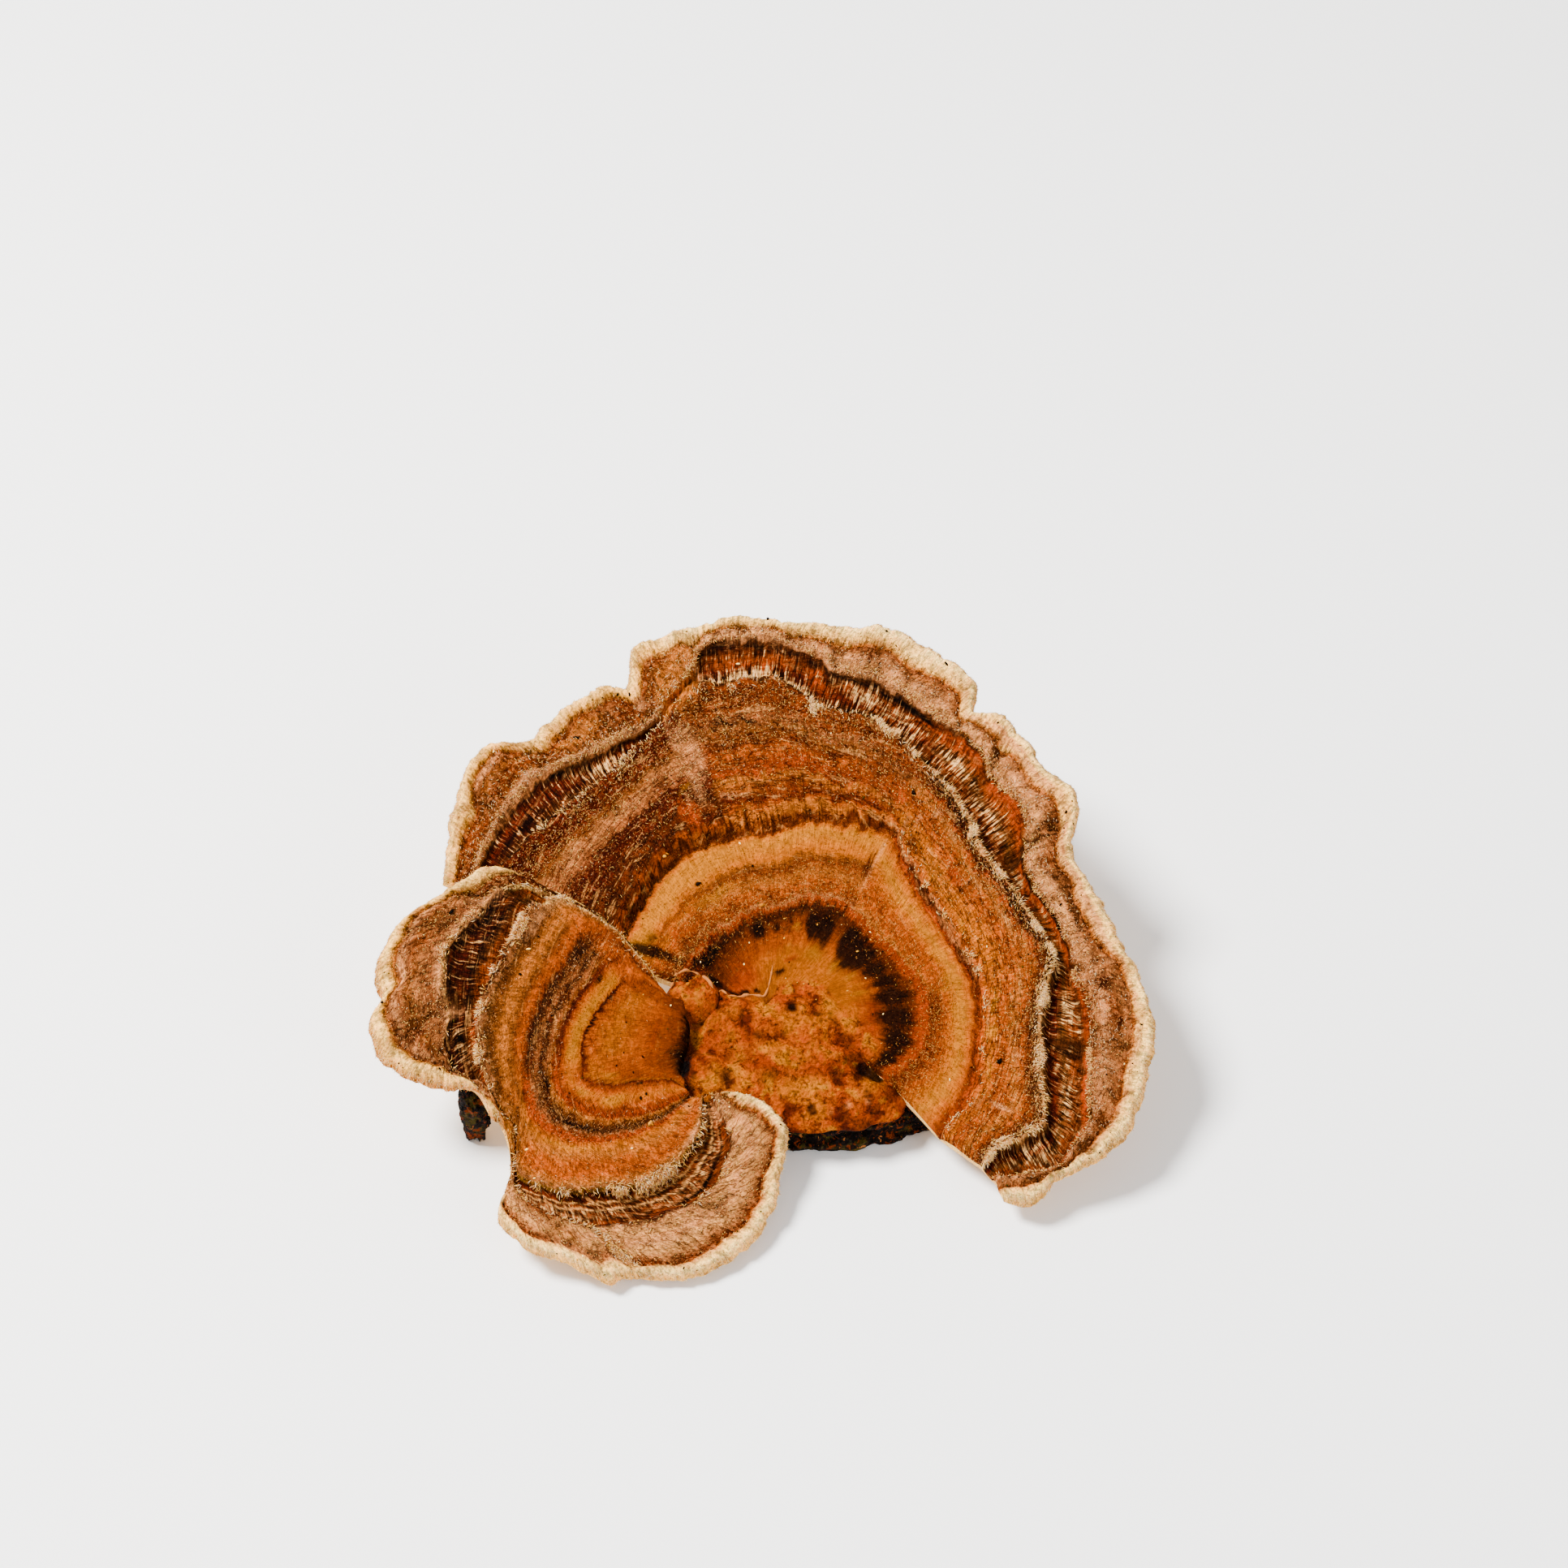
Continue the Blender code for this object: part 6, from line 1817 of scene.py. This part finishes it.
class FUNGUS_OT_velvet(bpy.types.Operator):
    """Grow the short hair on the bands, the wool on the crests and the felt of the outer zones"""

    bl_idname = "fungus.velvet"
    bl_label = "Hair"

    def execute(self, context):
        coat(
            "inner_velvet", MAIN_FAN, 18000, 41, zone_density(INNER_HAIR, end=2), LYING, (0.2, 0.46), FINE,
            MAIN_FROST, ("apricot", "pale tan", "apricot", "honey"),
        )
        coat(
            "outer_velvet", MAIN_FAN, 30000, 42, zone_density(OUTER_HAIR, 2.05), LYING, (0.22, 0.52), FINE,
            MAIN_FROST, ("pink", "pale tan", "apricot", "cream"),
        )
        coat(
            "crest_wool", MAIN_FAN, 5000, 43, crest_density, ((0.8, 0.3), (0, 0.45), (0.6, 0.25)),
            (0.35, 0.95), COARSE, ALL_PALE, ("frost", "cream", "milk", "pink", "pale tan"), bow=0.25,
        )
        coat(
            "rim_fuzz", MAIN_FAN, 6500, 49, zone_density(EVEN, 5.75), FUZZY, (0.25, 0.62), FUZZ, ALL_PALE,
            RIM_INKS,
        )
        coat(
            "second_rim_fuzz", SIDE_FAN, 4500, 50, zone_density(EVEN, 6.75), FUZZY, (0.25, 0.62), FUZZ,
            ALL_PALE, RIM_INKS,
        )
        coat(
            "pad_fringe", MAIN_FAN, 3000, 48, fringe_density, ((-0.4, 0.5), (0, 0.5), (0.5, 0.3)),
            (0.35, 0.8), COARSE, ALL_PALE, ("cream", "pink", "pale tan", "tan"), bow=0.2,
        )
        coat(
            "outer_felt", MAIN_FAN, 16000, 44, zone_density(FELT_HAIR, 3.95), LYING, (0.25, 0.55), COARSE,
            MAIN_FROST, ("pink", "pale tan", "cream", "frost", "pink"),
        )
        coat(
            "second_velvet", SIDE_FAN, 14000, 45, zone_density(SIDE_HAIR, end=4.05), LYING, (0.2, 0.5), FINE,
            SIDE_FROST, ("pink", "pale tan", "apricot"),
        )
        coat(
            "second_wool", SIDE_FAN, 5000, 46, second_wool_density, ((0.5, 0.4), (0, 0.5), (0.7, 0.3)),
            (0.5, 1.15), (0.07, 0.11), ALL_PALE, ("frost", "cream", "pale tan", "pink", "honey", "tan"),
            bow=0.3,
        )
        coat(
            "second_felt", SIDE_FAN, 8000, 47, zone_density(SIDE_FELT_HAIR, 5), LYING, (0.2, 0.45),
            (0.06, 0.09), SIDE_FROST, ("pink", "pale tan", "cream"),
        )
        return {"FINISHED"}


# ---- specks
# Larger specks seen on the fans: (place across, growth, radius, ink); the milk ones are pale glints, painted
# highlights
MAIN_SPECKS = [
    (158.3, 1.17, 0.3, "butter"), (130.3, 1.1, 0.3, "butter"), (111, 1.04, 0.4, "gold"),
    (134.5, 2.03, 0.45, "butter"), (133.6, 2.03, 0.35, "gold"), (42, 0.74, 0.3, "butter"),
    (99.5, 0.84, 0.25, "butter"), (-27.5, 1.7, 0.25, "milk"), (-18.5, 2.37, 0.45, "black"),
    (58.5, 2.63, 0.4, "black"), (131, 1.57, 0.4, "soot"), (130.2, 1.58, 0.3, "soot"),
    (109, 1.54, 0.25, "black"), (15.5, 4.42, 0.35, "black"), (132.7, 4.5, 0.4, "black"),
    (132.9, 4.62, 0.3, "black"), (64, 5.62, 0.35, "black"), (31, 5.4, 0.3, "black"),
    (75, 5.7, 0.35, "black"), (95, 5.6, 0.3, "black"), (123, 5.3, 0.3, "black"), (121, 5.5, 0.3, "soot"),
    (101, 3.55, 0.4, "milk"), (64, 2.4, 0.2, "butter"), (20, 2.9, 0.35, "black"), (-3, 3.5, 0.2, "milk"),
    (50, 3.3, 0.3, "black"), (146, 3.0, 0.25, "black"), (-7, 5.4, 0.25, "black"), (90, 2.3, 0.2, "olive"),
    (71, 2.2, 0.25, "olive"), (44, 0.95, 0.2, "milk"),
]
SIDE_SPECKS = [
    (13, 2.67, 0.6, "butter"), (12.6, 2.75, 0.45, "gold"), (38, 3.48, 0.3, "cream"),
    (71, 3.68, 0.35, "cream"), (66.5, 3.6, 0.3, "black"), (35, 3.95, 0.3, "cream"),
    (15.5, 1.5, 0.35, "black"), (17.2, 1.58, 0.3, "black"), (74, 5.45, 0.4, "black"),
    (57, 6.3, 0.3, "black"), (66, 6.4, 0.25, "soot"), (8, 6.5, 0.2, "black"), (45, 3.6, 0.25, "brown"),
    (50, 3.8, 0.25, "brown"), (80, 2.0, 0.35, "tan"), (18, 3.2, 0.2, "milk"),
]
SPECK_LIFT = 0.06
GROWTH_WEIGHT = 12  # of growth against the place across, where a speck's seat is looked for
SPECK_FORM, DUST_AND_GLINT_FORM = (1.1, 0.75, 0.4), (1.1, 0.8, 0.6)
# Loose specks: dust and yellow scales, and in milk pale glints, which are painted highlights
DUST_AND_GLINT_INKS = ("black", "soot", "black", "dark brown", "olive", "butter", "milk")


class FUNGUS_OT_specks(bpy.types.Operator):
    """Scatter the dark specks, yellow scales and pale glints that lie on the fans"""

    bl_idname = "fungus.specks"
    bl_label = "Specks"

    def execute(self, context):
        both = (
            ("main", MAIN_FAN, MAIN_SPECKS, settings().dust_and_glints_main),
            ("side", SIDE_FAN, SIDE_SPECKS, settings().dust_and_glints_side),
        )
        for name, fan, listed, loose in both:
            at, growth, points = (values[: fan.top_rows] for values in (fan.at, fan.growth, fan.points))
            seats = []
            for place, level, radius, shade in listed:
                apart = (at - place) ** 2 + ((growth - level) * GROWTH_WEIGHT) ** 2
                seats.append(points[np.unravel_index(apart.argmin(), apart.shape)])
            radii = np.array([radius for place, level, radius, shade in listed])
            tones = tone(*[shade for place, level, radius, shade in listed])
            grains(f"{name}_specks", np.array(seats) + (0, 0, SPECK_LIFT), radii, SPECK_FORM, tones, 95)

            rim = fan.last - 1
            # loose dust and scales, with painted highlights as pale glints among them
            roots = Roots(fan, loose, lambda at, level: 0.35 + 1.6 * (level > rim) + 1.2 * (level < 1.1), 96)
            tones = roots.rng.choice(tone(*DUST_AND_GLINT_INKS), loose)
            grains(f"{name}_dust_and_glints", roots.place, roots.uniform(0.07, 0.2), DUST_AND_GLINT_FORM, tones, 97)
        return {"FINISHED"}


# ---- bark
BARK_CORNERS = 721
BARK_ROUND = 120  # cells of flakes round it
BARK_EDGE = 0.25  # height of the sharp edges of flakes
BARK_ROUGH_SHARE = 0.35  # of the roughness, that stays at the top and the cut
BARK_TOP_DROP = 0.45
BARK_CRAG_SHARE = 0.7
MOSS_INKS = ("olive", "soot", "olive", "black", "ochre", "dark brown", "olive")
CRUMB_INKS = ("black", "red orange", "orange", "dark brown", "tan", "soot", "olive", "amber", "rust")
LOOSE_CRUMBS = 700


def bark_places(turn, way):
    """Places on the bark, by turn round it and by way from the middle of its top to the middle of its cut.
    Both run from 0 to 1."""
    shares = np.linspace(0, 1, BARK_CORNERS)
    outline = line_places([*BARK_OUTLINE, BARK_OUTLINE[0]], shares)
    x, y = (np.interp(turn % 1, shares, values) for values in outline.T)
    reach = np.hypot(x, y)
    run = turn * BARK_ROUND
    share = np.clip((1 - BARK_TOP_SHARE - way) / (1 - 2 * BARK_TOP_SHARE), 0, 1)
    shift = np.interp(share, *np.array(BARK_LEVELS).T)
    edges = BARK_EDGE * np.sign(ripples(run * 0.5, share * 7 + 0.6 * ripples(run * 0.2, 0 * run, 73), 74))
    rough = rippled(run, share, BARK_FLAKES) + edges + rippled(run, share, BARK_GRAIN)
    held = np.sqrt(np.clip(4 * share * (1.06 - share), 0, 1))
    inward = np.minimum(np.minimum(way, 1 - way) / BARK_TOP_SHARE, 1)
    out = (reach + shift + rough * (BARK_ROUGH_SHARE + (1 - BARK_ROUGH_SHARE) * held)) * inward
    x, y = x / reach * out, y / reach * out
    top = BARK_TOP - BARK_TOP_DROP + rippled(x, y, BARK_CRAGS) * BARK_CRAG_SHARE
    return np.stack([x, y, top * share], axis=-1)


class Seats:
    """Random seats on the bark for moss and crumbs; those in bare patches gather near the first that stays."""

    def __init__(self, count, turn, way, seed):
        self.count = count
        self.rng = np.random.default_rng(seed)
        turns, ways = self.rng.uniform(*turn, count), self.rng.uniform(*way, count)
        keep = smooth_step(-0.2, 0.3, ripples(turns * 40, ways * 12, 78)) > self.rng.random(count)
        turns = np.where(keep, turns, turns[np.argmax(keep)] + self.rng.normal(0, 0.004, count))
        self.place = bark_places(turns, ways)
        along = unit(bark_places(turns + 0.002, ways) - self.place)
        down = unit(bark_places(turns, ways + 0.006) - self.place)
        self.normal = unit(np.cross(down, along))
        outward = np.sum(self.normal * (self.place - np.array([0, 0, 2.0])), axis=1, keepdims=True)
        self.normal = self.normal * np.sign(outward)


def bark_chip():
    obj, form = ball("bark_chip", bpy.ops.mesh.primitive_uv_sphere_add, segments=360, ring_count=72)
    turn = np.arctan2(form[:, 1], form[:, 0]) / math.tau
    way = np.arccos(np.clip(form[:, 2], -1, 1)) / math.pi
    reshape(obj, bark_places(turn, way))
    store(obj.data, "cut", (way > 1 - BARK_TOP_SHARE - 0.004) * 1.0)
    bpy.ops.object.shade_smooth()
    settle(obj, ["dark_bark"], "mossy_bark", "bark")


def crumb_lump():
    """The crumb, with its lowest points pressed flat on the floor."""
    obj, form = ball("crumb_lump", bpy.ops.mesh.primitive_ico_sphere_add, subdivisions=5)
    u, v = np.arctan2(form[:, 1], form[:, 0]) * 2.2 + 9, form[:, 2] * 3
    size = 1 + rippled(u, v, CRUMB_LUMPS)
    points = CRUMB_PLACE + form * CRUMB_RADII * size[:, None]
    points[:, 2] = np.maximum(points[:, 2], 0)
    reshape(obj, points)
    store(obj.data, "cut", 0 * u)
    bpy.ops.object.shade_smooth()
    settle(obj, ["dark_bark"], "mossy_bark", "bark_crumb")


def moss():
    seats = Seats(settings().moss, (-0.52, 0.02), (0.24, 0.62), 91)
    count, rng = seats.count, seats.rng
    way = unit(seats.normal + rng.normal(0, 0.5, (count, 3)) + (0, 0, 0.3))
    tones = rng.choice(tone(*MOSS_INKS), count)
    length = rng.uniform(0.25, 0.8, count)
    strands("bark_moss", seats, way, length, rng.uniform(0.08, 0.16, count), tones, slot="mossy_bark")


def loose_crumbs():
    seats = Seats(LOOSE_CRUMBS, (-0.5, 0.0), (0.25, 0.66), 92)
    tones = seats.rng.choice(tone(*CRUMB_INKS), seats.count)
    radii = seats.rng.uniform(0.12, 0.4, seats.count)
    grains("bark_crumbs", seats.place, radii, (1, 0.7, 0.5), tones, 93, "mossy_bark")


class FUNGUS_OT_bark(bpy.types.Operator):
    """Build the bark chip with its moss and cut underside, and the crumb under the second fan"""

    bl_idname = "fungus.bark"
    bl_label = "Bark"

    def execute(self, context):
        bark_chip()
        crumb_lump()
        moss()
        loose_crumbs()
        return {"FINISHED"}


# ---- stage, in metres
CAMERA_TARGET = Vector((-0.002, 0.028, 0.0262))
CAMERA_LENS = 80.0
LAMP_TARGET = Vector((0, 0, 0.01))
FLOOR_SIZE = 8


def turned(obj, way):
    """Turns a lamp or camera to look this way."""
    obj.rotation_mode = "QUATERNION"
    obj.rotation_quaternion = way.to_track_quat("-Z", "Y")


def lamp(name, place, size, power, colour):
    data = bpy.data.lights.new(name, "AREA")
    data.shape = "DISK"
    data.size = size
    data.energy = power
    data.color = colour
    obj = bpy.data.objects.new(name, data)
    bpy.context.scene.collection.objects.link(obj)
    obj.location = place
    turned(obj, LAMP_TARGET - Vector(place))


class FUNGUS_OT_stage(bpy.types.Operator):
    """Set up the floor, the soft light and the camera"""

    bl_idname = "fungus.stage"
    bl_label = "Stage"

    def execute(self, context):
        deselect()
        bpy.ops.mesh.primitive_plane_add(size=FLOOR_SIZE)
        floor = added("studio_floor")
        floor.data.materials.append(material("studio_floor"))
        world = bpy.data.worlds.new("soft_studio")
        context.scene.world = world
        world.use_nodes = True
        background = world.node_tree.nodes["Background"]
        background.inputs["Color"].default_value = (1, 1, 1, 1)
        background.inputs["Strength"].default_value = settings().sky_strength
        lamp("key_light", (-0.4, 0.05, 0.7), 0.24, settings().key_power, (1, 0.98, 0.95))
        lamp("fill_light", (0.6, -0.5, 0.5), 0.5, settings().fill_power, (0.97, 0.98, 1))
        data = bpy.data.cameras.new("camera")
        data.lens = CAMERA_LENS
        data.sensor_width = 36
        data.clip_start = 0.01
        camera = bpy.data.objects.new("camera", data)
        context.scene.collection.objects.link(camera)
        elevation = settings().camera_elevation
        back = Vector((0, -math.cos(elevation), math.sin(elevation)))
        camera.location = CAMERA_TARGET + back * settings().camera_distance
        turned(camera, -back)
        context.scene.camera = camera
        return {"FINISHED"}


# ---- panel, registration and the whole run
class FUNGUS_PT_panel(bpy.types.Panel):
    bl_idname = "FUNGUS_PT_panel"
    bl_label = "Turkey tail fungus"
    bl_space_type = "VIEW_3D"
    bl_region_type = "UI"
    bl_category = "Fungus"

    def draw(self, context):
        for name in FUNGUS_PG_settings.__annotations__:
            self.layout.prop(context.scene.fungus, name)
        for step in STEPS:
            self.layout.operator(step.bl_idname)


STEPS = (
    FUNGUS_OT_stage, FUNGUS_OT_main_fan, FUNGUS_OT_side_fan, FUNGUS_OT_hub, FUNGUS_OT_velvet,
    FUNGUS_OT_specks, FUNGUS_OT_bark,
)
CLASSES = (FUNGUS_PG_settings, *STEPS, FUNGUS_PT_panel)


def register():
    for cls in CLASSES:
        bpy.utils.register_class(cls)
    bpy.types.Scene.fungus = bpy.props.PointerProperty(type=FUNGUS_PG_settings)


def unregister():
    del bpy.types.Scene.fungus
    for cls in reversed(CLASSES):
        bpy.utils.unregister_class(cls)


def main():
    register()
    for step in STEPS:
        name = step.bl_idname.split(".")[1]
        getattr(bpy.ops.fungus, name)()


if __name__ == "__main__":
    main()
